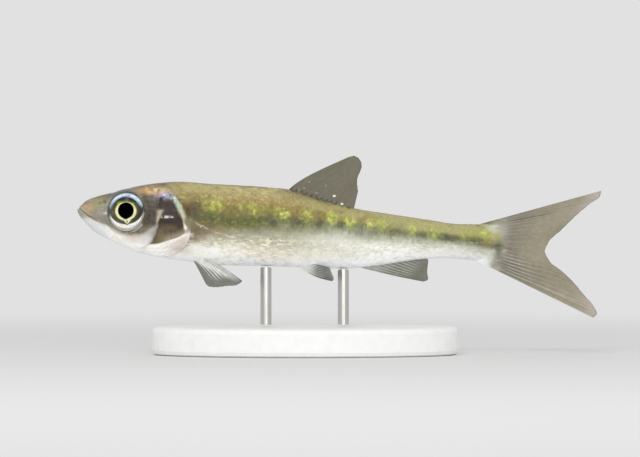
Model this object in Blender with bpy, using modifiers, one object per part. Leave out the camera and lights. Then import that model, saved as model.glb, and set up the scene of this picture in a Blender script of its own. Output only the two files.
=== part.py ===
# A pale chub, life size, held over a plain display stand by two rods.
# Metres, +Z up. The fish looks along -X, with its left side towards -Y.
# Sizes are in millimetres and become metres in place(). A length along the fish
# runs back from the tip of the lower jaw; a height is taken from a level line
# through the middle of the tail fin's root.
import math

import bmesh
import bpy
import numpy as np
from mathutils import Matrix, Vector

MM = 0.001

# Driving sizes of the fish
TOTAL_LENGTH = 75.2          # of which 60 mm are to the root of the tail fin
LEVEL_HEIGHT = 16.0          # level line above the floor
GAP = 0.3                    # air that two touching pieces keep
NOSE_LENGTH = 1.4            # the snout is rounded over this length
NOSE_HEIGHT = 4.6            # height of the jaw's tip
STALK_END = 57.7             # where the rounded end of the tail stalk begins
STALK_ROUND = 2.9            # how far that rounded end reaches back

# Stations along the fish: (length, height or half width)
BACK = [(0, 5.3), (1.4, 6.17), (2.6, 6.62), (5, 7.25), (7.75, 7.98), (10.9, 8.53), (14.4, 8.77), (19, 8.47),
        (27.5, 7.95), (30.4, 7.64), (32.6, 6.98), (36.9, 5.67), (39, 5.12), (45.5, 4.02), (50, 3.35),
        (54, 2.74), (STALK_END, 2.66)]
BELLY = [(0, 3.5), (0.8, 3.13), (1.4, 2.58), (2.24, 1.78), (4.26, 0.6), (5.6, -0.03), (8, -1.15),
         (10.6, -1.95), (15, -2.5), (19, -3.04), (27.5, -3.3), (33.3, -3.5), (39.3, -3.6), (42.6, -3.26),
         (50, -2.27), (52, -2.18), (54.1, -2.2), (STALK_END, -2.6)]
HALF_WIDTH = [(0, 0.95), (1.4, 1.42), (2.6, 1.8), (4.3, 2.25), (6.5, 2.65), (9, 2.95), (12.5, 3.2), (16, 3.3),
              (20, 3.32), (26, 3.2), (31, 2.95), (36, 2.55), (40, 2.2), (45, 1.7), (50, 1.25), (54, 0.98),
              (STALK_END, 0.75), (60.6, 0.5)]
WIDEST_AT = [(0, 0.5), (4, 0.55), (9, 0.55), (16, 0.56), (30, 0.54), (45, 0.5), (60.6, 0.5)]
BACK_SQUARENESS = [(0, 2.2), (5, 2.6), (9, 2.6), (14, 2.3), (30, 2.1), (45, 2.1), (57, 2.6), (60.6, 3.0)]
BELLY_SQUARENESS = [(0, 2.0), (5, 1.7), (10, 1.8), (16, 2.1), (30, 2.2), (45, 2.0), (57, 2.6), (60.6, 3.0)]
AROUND = 32                  # corners of a cross-section
WELD = 0.002                 # points closer than this become one
CUT_REACH = 7.0              # how far a cutter reaches to each side
NOSE_RINGS, END_RINGS = 6, 7                                     # cross-sections of the rounded ends
RING_STEPS = [(1.8, 17, 0.6), (18, 42, 1.6), (43.2, STALK_END, 1.6)]   # and between them: from, to, step

# Head
MOUTH = [(-0.8, 5.72), (0.24, 4.97), (1.25, 4.17), (2.24, 3.47)]
JAW_BACK = [(3.4, 2.6), (4.45, 1.5), (5.1, 0.2), (5.3, -1.5)]
LIP_PROUD, LIP_SPREAD = 0.13, 0.34
EYE_AT = (6.96, 4.5)         # length and height of the eye's middle
EYE_RADIUS, EYE_HALF_DEPTH, EYE_INSET = 2.45, 1.5, 1.76
EYE_TURN = math.radians(8)   # the eyes look a little forwards
ORBIT_RADIUS, ORBIT_TUBE, ORBIT_PROUD = 2.86, 0.22, 0.03
NOSTRILS = [(3.95, 5.95, 0.36), (3.2, 5.7, 0.27)]   # length, height, radius
NOSTRIL_DEEP, NOSTRIL_HIGH = 1.4, 0.8               # shares of that radius
COVER_EDGE = [(12.2, 7.1), (11.75, 4.8), (11.6, 3.0), (10.7, 1.0), (10.0, -0.1), (11.2, -0.95), (12.8, -1.15),
              (14.3, -0.5), (15.4, 0.8), (15.95, 2.1), (15.4, 3.9), (14.5, 5.85), (13.5, 7.1)]
COVER_THICK, COVER_PROUD, RIM_SHARE = 0.7, 0.14, 0.3   # the plate is thinner at its rim
POCKET_PROUD = 1.2           # how far the pocket's cutter reaches out of the skin
POCKET_GAP = 0.39            # air round the plate, a little wider than elsewhere
GILL_OPENING = [(12.9, 9.7), (13.9, 8.5), (15.0, 6.6), (15.95, 4.45), (16.5, 2.15), (16.2, 0.43),
                (15.1, -1.0), (13.7, -1.95), (12.3, -3.4)]
VENT = [(40.6, 7.0), (40.1, -5.0)]

# Fins: the first ray's number is at the front, and the webs thin out to their edges
WEB_HALF, WEB_EDGE, RAY_PROUD = 0.25, 0.16, 0.13
DORSAL = {"rays": 10, "root": (30.6, 39.4), "bow": 0.45,
          "edge": [(38.9, 12.35), (39.7, 12.45), (40.4, 12.0), (40.75, 11.1), (40.5, 10.2), (40.05, 9.5),
                   (40.15, 7.6)]}
ANAL = {"rays": 11, "root": (40.5, 49.8), "bow": 0.25,
        "edge": [(49.6, -5.55), (50.2, -5.3), (50.15, -4.2), (50.3, -2.75)]}
TAIL_UPPER = {"rays": 10, "bow": -0.2, "angles": (88, -3),       # root's first and last angle, degrees
              "edge": [(75.1, 7.5), (75.0, 6.9), (73.3, 5.5), (71.4, 3.85), (69.3, 1.8), (67.6, 0.2),
                       (66.95, -1.05)]}
TAIL_LOWER = {"rays": 9, "bow": 0.1, "angles": (-88, -9),
              "edge": [(73.7, -10.68), (74.5, -10.35), (74.3, -9.5), (72.6, -7.4), (70.9, -5.4), (69.3, -3.9),
                       (67.8, -2.75), (66.95, -1.35)]}
PECTORAL = {"rays": 11, "root": [(16.9, 0.9, -1.45), (16.55, 0.5, -2.3)], "bow": 0.3,
            "edge": [(23.4, 4.2, -5.6), (22.9, 4.15, -6.0), (21.0, 3.8, -6.15), (19.1, 3.25, -6.2),
                     (18.5, 2.9, -5.9)]}
PELVIC = {"rays": 8, "root": [(30.8, 0.3, -2.7), (31.9, 0.45, -2.6)], "bow": 0.35,
          "edge": [(36.5, 2.6, -5.45), (36.7, 2.55, -5.2), (36.45, 2.35, -4.4), (36.1, 2.1, -3.4)]}

# Stand
BASE_MIDDLE, BASE_LENGTH, BASE_WIDTH, BASE_THICK, BASE_ROUND = 32.6, 44.0, 25.0, 4.0, 0.7
ROD_PLACES = {"stand_rod_front": 27.0, "stand_rod_back": 38.1}
ROD_RADIUS = 0.8
ROD_OVERLAP = 0.9            # the rod runs this far past the belly line before it is cut back to the skin

# Colours, linear
OLIVE, WHITE = (0.30, 0.27, 0.12), (0.80, 0.80, 0.76)
DARK_PLATE, FIN_GREY, EYE_BLACK = (0.14, 0.12, 0.10), (0.20, 0.20, 0.16), (0.02, 0.02, 0.02)
STAND_GREY, STEEL = (0.62, 0.62, 0.60), (0.60, 0.60, 0.60)


def through(stations, places):
    """A smooth curve through (place, value) stations, with each tangent taken from the neighbours."""
    at, value = np.array(stations, float).T
    slope = np.gradient(value, at)
    places = np.clip(np.asarray(places, float), at[0], at[-1])
    i = np.clip(np.searchsorted(at, places) - 1, 0, len(at) - 2)
    span = at[i + 1] - at[i]
    u = (places - at[i]) / span
    return ((2 * u**3 - 3 * u**2 + 1) * value[i] + (u**3 - 2 * u**2 + u) * span * slope[i]
            + (3 * u**2 - 2 * u**3) * value[i + 1] + (u**3 - u**2) * span * slope[i + 1])


def along(points, shares, closed=False):
    """Points at the given shares of the length of a smooth line through a few points."""
    points = np.array(points, float)
    if closed:
        points = np.vstack([points[-2:], points, points[:3]])
    reach = np.r_[0, np.cumsum(np.linalg.norm(np.diff(points, axis=0), axis=1))]
    first, last = (reach[2], reach[-3]) if closed else (0, reach[-1])
    at = first + np.asarray(shares) * (last - first)
    return np.stack([through(list(zip(reach, column)), at) for column in points.T], axis=-1)


def section(x):
    """Back, belly, half width, widest height and the two squarenesses of the body at lengths x."""
    x = np.asarray(x, float)
    nose = np.sqrt(np.clip(1 - np.clip(1 - x / NOSE_LENGTH, 0, 1) ** 2, 0, 1))
    end = np.sqrt(np.clip(1 - np.clip((x - STALK_END) / STALK_ROUND, 0, 1) ** 2, 0, 1))
    back = (NOSE_HEIGHT + (through(BACK, x) - NOSE_HEIGHT) * nose) * end
    belly = (NOSE_HEIGHT + (through(BELLY, x) - NOSE_HEIGHT) * nose) * end
    widest = belly + (back - belly) * through(WIDEST_AT, x)
    half_width = through(HALF_WIDTH, x) * nose
    return back, belly, half_width, widest, through(BACK_SQUARENESS, x), through(BELLY_SQUARENESS, x)


def side_at(x, z):
    """Half width of the body at length x and height z."""
    back, belly, half_width, widest, square_up, square_down = section(x)
    up = z > widest
    share = np.where(up, (z - widest) / np.maximum(back - widest, 1e-6),
                     (widest - z) / np.maximum(widest - belly, 1e-6))
    share = np.clip(share, 0, 1) ** np.where(up, square_up, square_down)
    return half_width * np.sqrt(1 - share)


def lip_swell(x, z):
    """How far the lips stand out, by the distance from the line of the mouth."""
    line = along(MOUTH, np.linspace(0.15, 1, 24))
    away = np.min(np.hypot(x[..., None] - line[:, 0], z[..., None] - line[:, 1]), axis=-1)
    return LIP_PROUD * np.exp(-(away / LIP_SPREAD) ** 2)


def ring(x, grown=0.0):
    """One cross-section of the body, grown outwards on request."""
    angle = np.linspace(0, 2 * math.pi, AROUND, endpoint=False)
    back, belly, half_width, widest, square_up, square_down = section(x)
    up = np.sin(angle) > 0
    tall = np.where(up, back - widest, widest - belly)
    square = np.where(up, square_up, square_down)
    y = half_width * np.cos(angle)
    z = widest + tall * np.sign(np.sin(angle)) * np.abs(np.sin(angle)) ** (2 / square)
    out = grown + lip_swell(np.full(AROUND, x), z)
    return np.stack([np.full(AROUND, x), y + out * np.cos(angle), z + out * np.sin(angle)], axis=-1)


def place(points):
    """Fish millimetres to metres in the part's frame."""
    points = np.asarray(points, float)
    return (points + [-TOTAL_LENGTH / 2, 0, LEVEL_HEIGHT]) * MM


def mesh_object(name, points, faces):
    """An object from points in fish millimetres, with its faces turned outwards."""
    mesh = bpy.data.meshes.new(name)
    mesh.from_pydata(place(points).tolist(), [], faces)
    obj = bpy.data.objects.new(name, mesh)
    FISH.objects.link(obj)
    shaped = bmesh.new()
    shaped.from_mesh(mesh)
    bmesh.ops.recalc_face_normals(shaped, faces=shaped.faces)
    shaped.to_mesh(mesh)
    shaped.free()
    return obj


def loft(name, rings, first_pole, last_pole):
    """A closed skin over rings of equal count, drawn to a point at each end."""
    count = len(rings[0])
    points = [first_pole, *np.concatenate(rings), last_pole]
    faces = []
    for row in range(len(rings) - 1):
        for i in range(count):
            j = (i + 1) % count
            a, b = 1 + row * count, 1 + (row + 1) * count
            faces.append((a + i, a + j, b + j, b + i))
    last = 1 + (len(rings) - 1) * count
    for i in range(count):
        j = (i + 1) % count
        faces.append((0, 1 + j, 1 + i))
        faces.append((len(points) - 1, last + i, last + j))
    return mesh_object(name, points, faces)


def body_lengths():
    """Where the cross-sections stand: close together at the snout, the head and the stalk's end."""
    nose = NOSE_LENGTH * (1 - np.cos(np.linspace(0.12, 1, NOSE_RINGS) * math.pi / 2))
    end = STALK_END + STALK_ROUND * np.sin(np.linspace(0, 0.96, END_RINGS) * math.pi / 2)
    return np.concatenate([nose, *[np.arange(*steps) for steps in RING_STEPS], end])


def body(name, grown=0.0):
    rings = [ring(x, grown) for x in body_lengths()]
    front = (-grown, 0, NOSE_HEIGHT)
    return loft(name, rings, front, (STALK_END + STALK_ROUND + grown, 0, 0))


def flattened(obj):
    """The object's mesh with its modifiers applied, welded, as a plain mesh object of the same name."""
    graph = bpy.context.evaluated_depsgraph_get()
    mesh = bpy.data.meshes.new_from_object(obj.evaluated_get(graph))
    mesh.transform(obj.matrix_world)
    shaped = bmesh.new()
    shaped.from_mesh(mesh)
    bmesh.ops.remove_doubles(shaped, verts=shaped.verts, dist=WELD * MM)
    shaped.to_mesh(mesh)
    shaped.free()
    name = obj.name
    bpy.data.objects.remove(obj)
    flat = bpy.data.objects.new(name, mesh)
    FISH.objects.link(flat)
    return flat


def combine(target, operation, tools):
    """Joins tools to the target, or cuts them out of it, and takes the tools away."""
    shelf = bpy.data.collections.new("tools")
    bpy.context.scene.collection.children.link(shelf)
    for tool in tools:
        FISH.objects.unlink(tool)
        shelf.objects.link(tool)
    step = target.modifiers.new(operation.lower(), "BOOLEAN")
    step.operand_type = "COLLECTION"
    step.collection = shelf
    step.operation = operation
    result = flattened(target)
    for tool in tools:
        bpy.data.objects.remove(tool)
    bpy.data.collections.remove(shelf)
    return result


def pieces_of(obj):
    """The separate closed surfaces of an object's mesh, each as a set of vertex numbers."""
    shaped = bmesh.new()
    shaped.from_mesh(obj.data)
    left, found = set(shaped.verts), []
    while left:
        todo, piece = [left.pop()], set()
        while todo:
            vert = todo.pop()
            piece.add(vert.index)
            near = {edge.other_vert(vert) for edge in vert.link_edges} & left
            left -= near
            todo.extend(near)
        found.append(piece)
    shaped.free()
    return found


def kept(obj, piece, name):
    """A new object with one of an object's separate surfaces."""
    shaped = bmesh.new()
    shaped.from_mesh(obj.data)
    rest = [vert for vert in shaped.verts if vert.index not in piece]
    bmesh.ops.delete(shaped, geom=rest, context="VERTS")
    mesh = bpy.data.meshes.new(name)
    shaped.to_mesh(mesh)
    shaped.free()
    part = bpy.data.objects.new(name, mesh)
    FISH.objects.link(part)
    return part


def largest(obj):
    """The object with only its largest closed surface."""
    piece = max(pieces_of(obj), key=len)
    name = obj.name
    obj.name = name + "_whole"
    part = kept(obj, piece, name)
    bpy.data.objects.remove(obj)
    return part


def blade(name, line, count):
    """A thin upright cutter across the whole body, along a line of (length, height) points."""
    path = along(line, np.linspace(0, 1, count))
    points = [(x, side, z) for x, z in path for side in (-CUT_REACH, CUT_REACH)]
    faces = [(2 * i, 2 * i + 1, 2 * i + 3, 2 * i + 2) for i in range(count - 1)]
    cutter = mesh_object(name, points, faces)
    thick = cutter.modifiers.new("thickness", "SOLIDIFY")
    thick.thickness = GAP * MM
    thick.offset = 0
    return flattened(cutter)


def ellipsoid(name, middle, half_sizes, turn=0.0, around=24, rows=14):
    """A ball stretched to three half sizes and turned about the upright axis."""
    shaped = bmesh.new()
    bmesh.ops.create_uvsphere(shaped, u_segments=around, v_segments=rows, radius=1)
    mesh = bpy.data.meshes.new(name)
    shaped.to_mesh(mesh)
    shaped.free()
    lay_flat = Matrix.Rotation(math.pi / 2, 4, "X")
    size = Matrix.Diagonal([*[s * MM for s in half_sizes], 1])
    mesh.transform(Matrix.Translation(place(middle)) @ Matrix.Rotation(turn, 4, "Z") @ size @ lay_flat)
    obj = bpy.data.objects.new(name, mesh)
    FISH.objects.link(obj)
    return obj


def eye(name, side, grown=0.0):
    x, z = EYE_AT
    half = (EYE_RADIUS + grown, EYE_HALF_DEPTH + grown, EYE_RADIUS + grown)
    return ellipsoid(name, (x, side * EYE_INSET, z), half, side * EYE_TURN)


def orbit_rim(name, side):
    """The raised skin round an eye: a thin tube laid on the head."""
    count = 28
    angle = np.linspace(0, 2 * math.pi, count, endpoint=False)
    x = EYE_AT[0] + ORBIT_RADIUS * np.cos(angle)
    z = EYE_AT[1] + ORBIT_RADIUS * np.sin(angle)
    points = place(np.stack([x, side * (side_at(x, z) + ORBIT_PROUD), z], axis=-1))
    line = bpy.data.curves.new(name, "CURVE")
    line.dimensions = "3D"
    line.bevel_depth = ORBIT_TUBE * MM
    line.bevel_resolution = 1
    spline = line.splines.new("POLY")
    spline.points.add(count - 1)
    spline.points.foreach_set("co", np.c_[points, np.ones(count)].ravel())
    spline.use_cyclic_u = True
    tube = bpy.data.objects.new(name, line)
    FISH.objects.link(tube)
    return flattened(tube)


def cover(name, side, grown=0.0, outer=COVER_PROUD, inner=COVER_THICK):
    """A gill cover's plate, or the pocket for it: a patch of the skin lofted to one further in.

    Both are rings of the plate's edge drawn in to its middle. The outer one stands a little over the
    skin, less so at its rim.
    """
    count, rows = 28, 4
    edge = along(COVER_EDGE, np.arange(count) / count, closed=True)
    middle = edge.mean(axis=0)
    away = edge - middle
    edge = middle + away * (1 + grown / np.linalg.norm(away, axis=1))[:, None]
    shares = np.linspace(0, 1, rows + 1)[1:]
    flat = np.concatenate([[middle]] + [middle + (edge - middle) * share for share in shares])
    skin = side_at(flat[:, 0], flat[:, 1])
    rim = np.r_[0, np.repeat(shares, count)] == 1
    raised = np.full(len(flat), outer)
    if not grown:
        raised[rim] = outer * RIM_SHARE
    top = np.c_[flat[:, 0], side * (skin + raised), flat[:, 1]]
    under = np.c_[flat[:, 0], side * (skin - inner), flat[:, 1]]
    faces, size = [], len(flat)
    for i in range(count):
        j = (i + 1) % count
        faces.append((0, 1 + i, 1 + j))
        faces.append((size, size + 1 + j, size + 1 + i))
        for row in range(rows - 1):
            a, b = 1 + row * count, 1 + (row + 1) * count
            faces.append((a + i, b + i, b + j, a + j))
            faces.append((size + a + i, size + a + j, size + b + j, size + b + i))
        last = 1 + (rows - 1) * count
        faces.append((last + i, size + last + i, size + last + j, last + j))
    return mesh_object(name, np.concatenate([top, under]), faces)


def fin(name, rays, root, edge, bow, rows=5, across=None):
    """A fin as one closed web: root and edge are arrays of points, one for each column.

    Each ray has three columns, and its middle one stands out as a ridge. The rays bow towards the
    fin's front, the first one most. across is the web's normal; left out, it follows the surface.
    """
    columns = len(root)
    share = np.linspace(0, 1, rows + 1)
    grid = root[:, None] * (1 - share)[:, None] + edge[:, None] * share[:, None]
    reach = edge - root
    lean = np.cross(reach, np.gradient(root, axis=0) + np.gradient(edge, axis=0))
    forwards = np.cross(reach, lean)
    forwards /= np.linalg.norm(forwards, axis=1)[:, None]
    if np.dot(forwards[0], root[0] - root[-1]) < 0:
        forwards = -forwards
    fade = np.linspace(1, 0, columns)[:, None]
    grid += forwards[:, None] * (bow * fade * np.sin(math.pi * share))[..., None]
    if across is None:
        normal = np.cross(np.gradient(grid, axis=0), np.gradient(grid, axis=1))
        normal /= np.linalg.norm(normal, axis=2)[..., None]
    else:
        normal = np.broadcast_to(np.array(across, float), grid.shape)
    ridge = np.tile([0, 1, 0], rays)
    half = WEB_HALF + RAY_PROUD * ridge[:, None] * (1 - 0.75 * share**3)
    half[:, -1] = WEB_EDGE
    half[0] = half[-1] = WEB_EDGE
    sheets = [grid + normal * half[..., None], grid - normal * half[..., None]]
    points = np.concatenate([sheet.reshape(-1, 3) for sheet in sheets])
    size, high = columns * (rows + 1), rows + 1
    faces = []
    for i in range(columns - 1):
        for j in range(rows):
            a, b, c, d = i * high + j, (i + 1) * high + j, (i + 1) * high + j + 1, i * high + j + 1
            faces += [(a, b, c), (a, c, d), (size + a, size + c, size + b), (size + a, size + d, size + c)]
        a, b, c, d = i * high, (i + 1) * high, i * high + rows, (i + 1) * high + rows
        faces += [(a, size + a, size + b, b), (c, d, size + d, size + c)]
    for j in range(rows):
        a, b = j, (columns - 1) * high + j
        faces += [(a, a + 1, size + a + 1, size + a), (b, size + b, size + b + 1, b + 1)]
    return mesh_object(name, points, faces)


def ray_shares(rays):
    """Three columns for each ray, at shares of the fin's front-to-back length."""
    step = 1 / rays
    return np.concatenate([(i + np.array([0.22, 0.5, 0.78])) * step for i in range(rays)])


def spread_to(shares):
    """The same columns, stretched so that the first and the last lie on the fin's two ends."""
    return (shares - shares[0]) / (shares[-1] - shares[0])


def in_middle_plane(flat):
    return np.c_[flat[:, 0], np.zeros(len(flat)), flat[:, 1]]


def back_fin(name, sizes, outline, away):
    """The dorsal or the anal fin, whose root keeps the gap from the body's outline."""
    shares = spread_to(ray_shares(sizes["rays"]))
    first, last = sizes["root"]
    x = first + (last - first) * shares
    root = np.c_[x, np.zeros(len(x)), through(outline, x) + away * GAP]
    edge = in_middle_plane(along(sizes["edge"], shares))
    return fin(name, sizes["rays"], root, edge, sizes["bow"], across=(0, 1, 0))


def tail_lobe(name, sizes):
    """One lobe of the tail fin, whose root goes round the stalk's end."""
    shares = spread_to(ray_shares(sizes["rays"]))
    first, last = sizes["angles"]
    angle = np.radians(first + (last - first) * shares)
    back, belly = section(STALK_END)[:2]
    height = np.where(angle > 0, back, -belly) + GAP
    root_x = STALK_END + (STALK_ROUND + GAP) * np.cos(angle)
    root = np.c_[root_x, np.zeros(len(angle)), height * np.sin(angle)]
    edge = in_middle_plane(along(sizes["edge"], shares))
    return fin(name, sizes["rays"], root, edge, sizes["bow"], rows=7, across=(0, 1, 0))


def paired_fin(name, sizes, side, rows):
    """A pectoral or pelvic fin, rooted inside the body and cut back to the gap from its skin."""
    shares = spread_to(ray_shares(sizes["rays"]))
    mirror = np.array([1, side, 1])
    root = along(sizes["root"], shares) * mirror
    edge = along(sizes["edge"], shares) * mirror
    web = fin(name, sizes["rays"], root, edge, sizes["bow"], rows=rows)
    return largest(combine(web, "DIFFERENCE", [body("grown_body", GAP)]))


def rod(name, x):
    """An upright rod from the base to the belly, hollowed at its top to fit the keel."""
    foot = BASE_THICK + GAP
    head = LEVEL_HEIGHT + float(through(BELLY, x)) + ROD_OVERLAP
    shaped = bmesh.new()
    bmesh.ops.create_cone(shaped, cap_ends=True, segments=24, radius1=ROD_RADIUS * MM,
                          radius2=ROD_RADIUS * MM, depth=(head - foot) * MM)
    mesh = bpy.data.meshes.new(name)
    shaped.to_mesh(mesh)
    shaped.free()
    middle = Vector(((x - TOTAL_LENGTH / 2) * MM, 0, (head + foot) / 2 * MM))
    mesh.transform(Matrix.Translation(middle))
    pin = bpy.data.objects.new(name, mesh)
    FISH.objects.link(pin)
    return largest(combine(pin, "DIFFERENCE", [body("grown_body", GAP)]))


def stand_base(name):
    """A flat oval plate with rounded rims."""
    shaped = bmesh.new()
    bmesh.ops.create_cone(shaped, cap_ends=True, segments=56, radius1=1, radius2=1, depth=1)
    mesh = bpy.data.meshes.new(name)
    shaped.to_mesh(mesh)
    shaped.free()
    size = Matrix.Diagonal([BASE_LENGTH / 2 * MM, BASE_WIDTH / 2 * MM, BASE_THICK * MM, 1])
    middle = Vector(((BASE_MIDDLE - TOTAL_LENGTH / 2) * MM, 0, BASE_THICK / 2 * MM))
    mesh.transform(Matrix.Translation(middle) @ size)
    plate = bpy.data.objects.new(name, mesh)
    FISH.objects.link(plate)
    rounding = plate.modifiers.new("rounding", "BEVEL")
    rounding.width = BASE_ROUND * MM
    rounding.segments = 2
    rounding.angle_limit = math.radians(60)
    return plate


def finish(obj, colour, roughness, metallic=0.0):
    """One Principled material for a node, and smooth shading."""
    material = bpy.data.materials.new(obj.name)
    material.use_nodes = True
    shader = material.node_tree.nodes["Principled BSDF"]
    shader.inputs["Base Color"].default_value = (*colour, 1)
    shader.inputs["Roughness"].default_value = roughness
    shader.inputs["Metallic"].default_value = metallic
    obj.data.materials.clear()
    obj.data.materials.append(material)
    obj.data.shade_smooth()
    obj.data.set_sharp_from_angle(angle=math.radians(35))


def flesh():
    """The body, made whole and parted with thin cuts at the mouth, the gill opening and the vent."""
    whole = body("whole")
    cutters = [blade("mouth_cut", MOUTH + JAW_BACK, 22), blade("gill_cut", GILL_OPENING, 20),
               blade("vent_cut", VENT, 2)]
    whole = combine(whole, "DIFFERENCE", cutters)
    names = ("lower_jaw", "head", "trunk", "tail_stalk")
    pieces = sorted(pieces_of(whole), key=len)[-len(names):]
    pieces.sort(key=lambda piece: np.mean([whole.data.vertices[i].co.x for i in piece]))
    parts = {name: kept(whole, piece, name) for name, piece in zip(names, pieces)}
    bpy.data.objects.remove(whole)
    return parts


def finished_head(head):
    """The head with its eye rims, eye sockets, gill cover pockets and nostrils."""
    head = combine(head, "UNION", [orbit_rim("rim_left", -1), orbit_rim("rim_right", 1)])
    cutters = []
    for side in (-1, 1):
        cutters.append(eye("socket", side, GAP))
        cutters.append(cover("pocket", side, POCKET_GAP, POCKET_PROUD, COVER_THICK + GAP))
        for x, z, radius in NOSTRILS:
            middle = (x, side * float(side_at(x, z)), z)
            half = (radius, radius * NOSTRIL_DEEP, radius * NOSTRIL_HIGH)
            cutters.append(ellipsoid("nostril", middle, half, around=10, rows=6))
    return largest(combine(head, "DIFFERENCE", cutters))


def main():
    parts = flesh()
    head = finished_head(parts["head"])
    finish(head, OLIVE, 0.4)
    finish(parts["lower_jaw"], WHITE, 0.4)
    finish(parts["trunk"], OLIVE, 0.4)
    finish(parts["tail_stalk"], OLIVE, 0.4)
    for side, word in ((-1, "left"), (1, "right")):
        finish(eye("eye_" + word, side), EYE_BLACK, 0.1)
        finish(cover("gill_cover_" + word, side), DARK_PLATE, 0.35)
        finish(paired_fin("pectoral_fin_" + word, PECTORAL, side, 5), FIN_GREY, 0.5)
        finish(paired_fin("pelvic_fin_" + word, PELVIC, side, 4), FIN_GREY, 0.5)
    finish(back_fin("dorsal_fin", DORSAL, BACK, 1), FIN_GREY, 0.5)
    finish(back_fin("anal_fin", ANAL, BELLY, -1), FIN_GREY, 0.5)
    finish(tail_lobe("tail_fin_upper", TAIL_UPPER), FIN_GREY, 0.5)
    finish(tail_lobe("tail_fin_lower", TAIL_LOWER), FIN_GREY, 0.5)
    for name, x in ROD_PLACES.items():
        finish(rod(name, x), STEEL, 0.3, 1.0)
    finish(stand_base("stand_base"), STAND_GREY, 0.5)


for old in list(bpy.data.objects):
    bpy.data.objects.remove(old)
FISH = bpy.data.collections.new("pale_chub")
bpy.context.scene.collection.children.link(FISH)
main()
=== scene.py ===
# A young pale chub, life size, over a display stand.
# Lengths are fish millimetres: x runs back from the jaw's tip, y to the fish's right, z up from a
# level line through the tail fin's root. toFrame turns them into the frame's metres.
import math

import bpy
import numpy as np
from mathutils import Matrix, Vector


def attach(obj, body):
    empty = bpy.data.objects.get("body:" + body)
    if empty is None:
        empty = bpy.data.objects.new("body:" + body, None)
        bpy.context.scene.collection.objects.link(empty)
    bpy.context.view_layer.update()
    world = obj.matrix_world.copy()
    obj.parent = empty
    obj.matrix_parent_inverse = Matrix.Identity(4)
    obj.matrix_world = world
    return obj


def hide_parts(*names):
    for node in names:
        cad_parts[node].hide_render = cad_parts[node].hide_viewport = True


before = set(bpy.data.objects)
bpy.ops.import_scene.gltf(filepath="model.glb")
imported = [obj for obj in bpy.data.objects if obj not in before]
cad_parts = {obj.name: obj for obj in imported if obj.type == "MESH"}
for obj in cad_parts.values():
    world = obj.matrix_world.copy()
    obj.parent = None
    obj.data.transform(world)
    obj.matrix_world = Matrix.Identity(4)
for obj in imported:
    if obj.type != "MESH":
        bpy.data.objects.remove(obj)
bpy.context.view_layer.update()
fishOrigin = np.array([-37.6, 0.0, 16.0])
millimetre = 0.001

body = {
    "back": [(0, 5.3), (1.4, 6.17), (2.6, 6.62), (5, 7.25), (7.75, 7.98), (10.9, 8.53), (14.4, 8.77), (19, 8.47),
             (27.5, 7.95), (30.4, 7.64), (32.6, 6.98), (36.9, 5.67), (39, 5.12), (45.5, 4.02), (50, 3.35), (54, 2.74),
             (57.7, 2.66)],
    "belly": [(0, 3.5), (0.8, 3.13), (1.4, 2.58), (2.24, 1.78), (4.26, 0.6), (5.6, -0.03), (8, -1.15), (10.6, -1.95),
              (15, -2.5), (19, -3.04), (27.5, -3.3), (33.3, -3.5), (39.3, -3.6), (42.6, -3.26), (50, -2.27),
              (52, -2.18), (54.1, -2.2), (57.7, -2.6)],
    "halfWidth": [(0, 0.95), (1.4, 1.42), (2.6, 1.8), (4.3, 2.25), (6.5, 2.65), (9, 2.95), (12.5, 3.2), (16, 3.3),
                  (20, 3.32), (26, 3.2), (31, 2.95), (36, 2.55), (40, 2.2), (45, 1.7), (50, 1.25), (54, 0.98),
                  (57.7, 0.75), (59.2, 0.5), (60.6, 0.12)],
    "widestAt": [(0, 0.5), (4, 0.55), (9, 0.55), (16, 0.56), (30, 0.54), (45, 0.5), (60.6, 0.5)],
    "backSquareness": [(0, 2.2), (5, 2.6), (9, 2.6), (14, 2.3), (30, 2.1), (45, 2.1), (57, 2.6), (60.6, 3.0)],
    "bellySquareness": [(0, 2.0), (5, 1.7), (10, 1.8), (16, 2.1), (30, 2.2), (45, 2.0), (57, 2.6), (60.6, 3.0)],
    "noseLength": 1.4, "noseHeight": 4.6, "stalkEnd": 57.7, "stalkRound": 2.9,
}
tailTip = body["stalkEnd"] + body["stalkRound"]      # where the skin closes
lateralLine = [(15.9, 3.6), (16.6, 3.15), (18.1, 2.3), (20.4, 1.36), (23.1, 0.72), (26, 0.5), (32, 0.35), (38, 0.3),
               (44, 0.25), (50, 0.2), (56, 0.1), (60.5, 0.0)]


def toFrame(points):
    # fish millimetres plus the fish's own origin, times a thousandth
    return (np.asarray(points, float) + fishOrigin) * millimetre


def linear(hexColour):
    # sRGB hex to linear light: a power curve, straight near black
    value = np.array([int(hexColour[i:i + 2], 16) for i in (1, 3, 5)]) / 255
    return np.where(value <= 0.04045, value / 12.92, ((value + 0.055) / 1.055) ** 2.4)


def smooth(low, high, value):
    # eased step: 3u^2 - 2u^3 of the share between low and high
    u = np.clip((value - low) / (high - low), 0, 1)
    return u * u * (3 - 2 * u)


def bell(value, width):
    # a bell: e to the minus square of value over width
    return np.exp(-(value / width) ** 2)


def through(stations, places):
    # cubic through (place, value) stations, each tangent taken from the neighbours
    at, value = np.array(stations, float).T
    slope = np.gradient(value, at)
    places = np.clip(np.asarray(places, float), at[0], at[-1])
    i = np.clip(np.searchsorted(at, places) - 1, 0, len(at) - 2)
    span = at[i + 1] - at[i]
    u = (places - at[i]) / span
    return ((2 * u**3 - 3 * u**2 + 1) * value[i] + (u**3 - 2 * u**2 + u) * span * slope[i]
            + (3 * u**2 - 2 * u**3) * value[i + 1] + (u**3 - u**2) * span * slope[i + 1])


def along(points, shares):
    # points at shares of the length of a smooth line through a few points
    points = np.array(points, float)
    reach = np.r_[0, np.cumsum(np.linalg.norm(np.diff(points, axis=0), axis=1))]
    return np.stack([through(list(zip(reach, c)), np.asarray(shares) * reach[-1]) for c in points.T], axis=-1)


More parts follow.
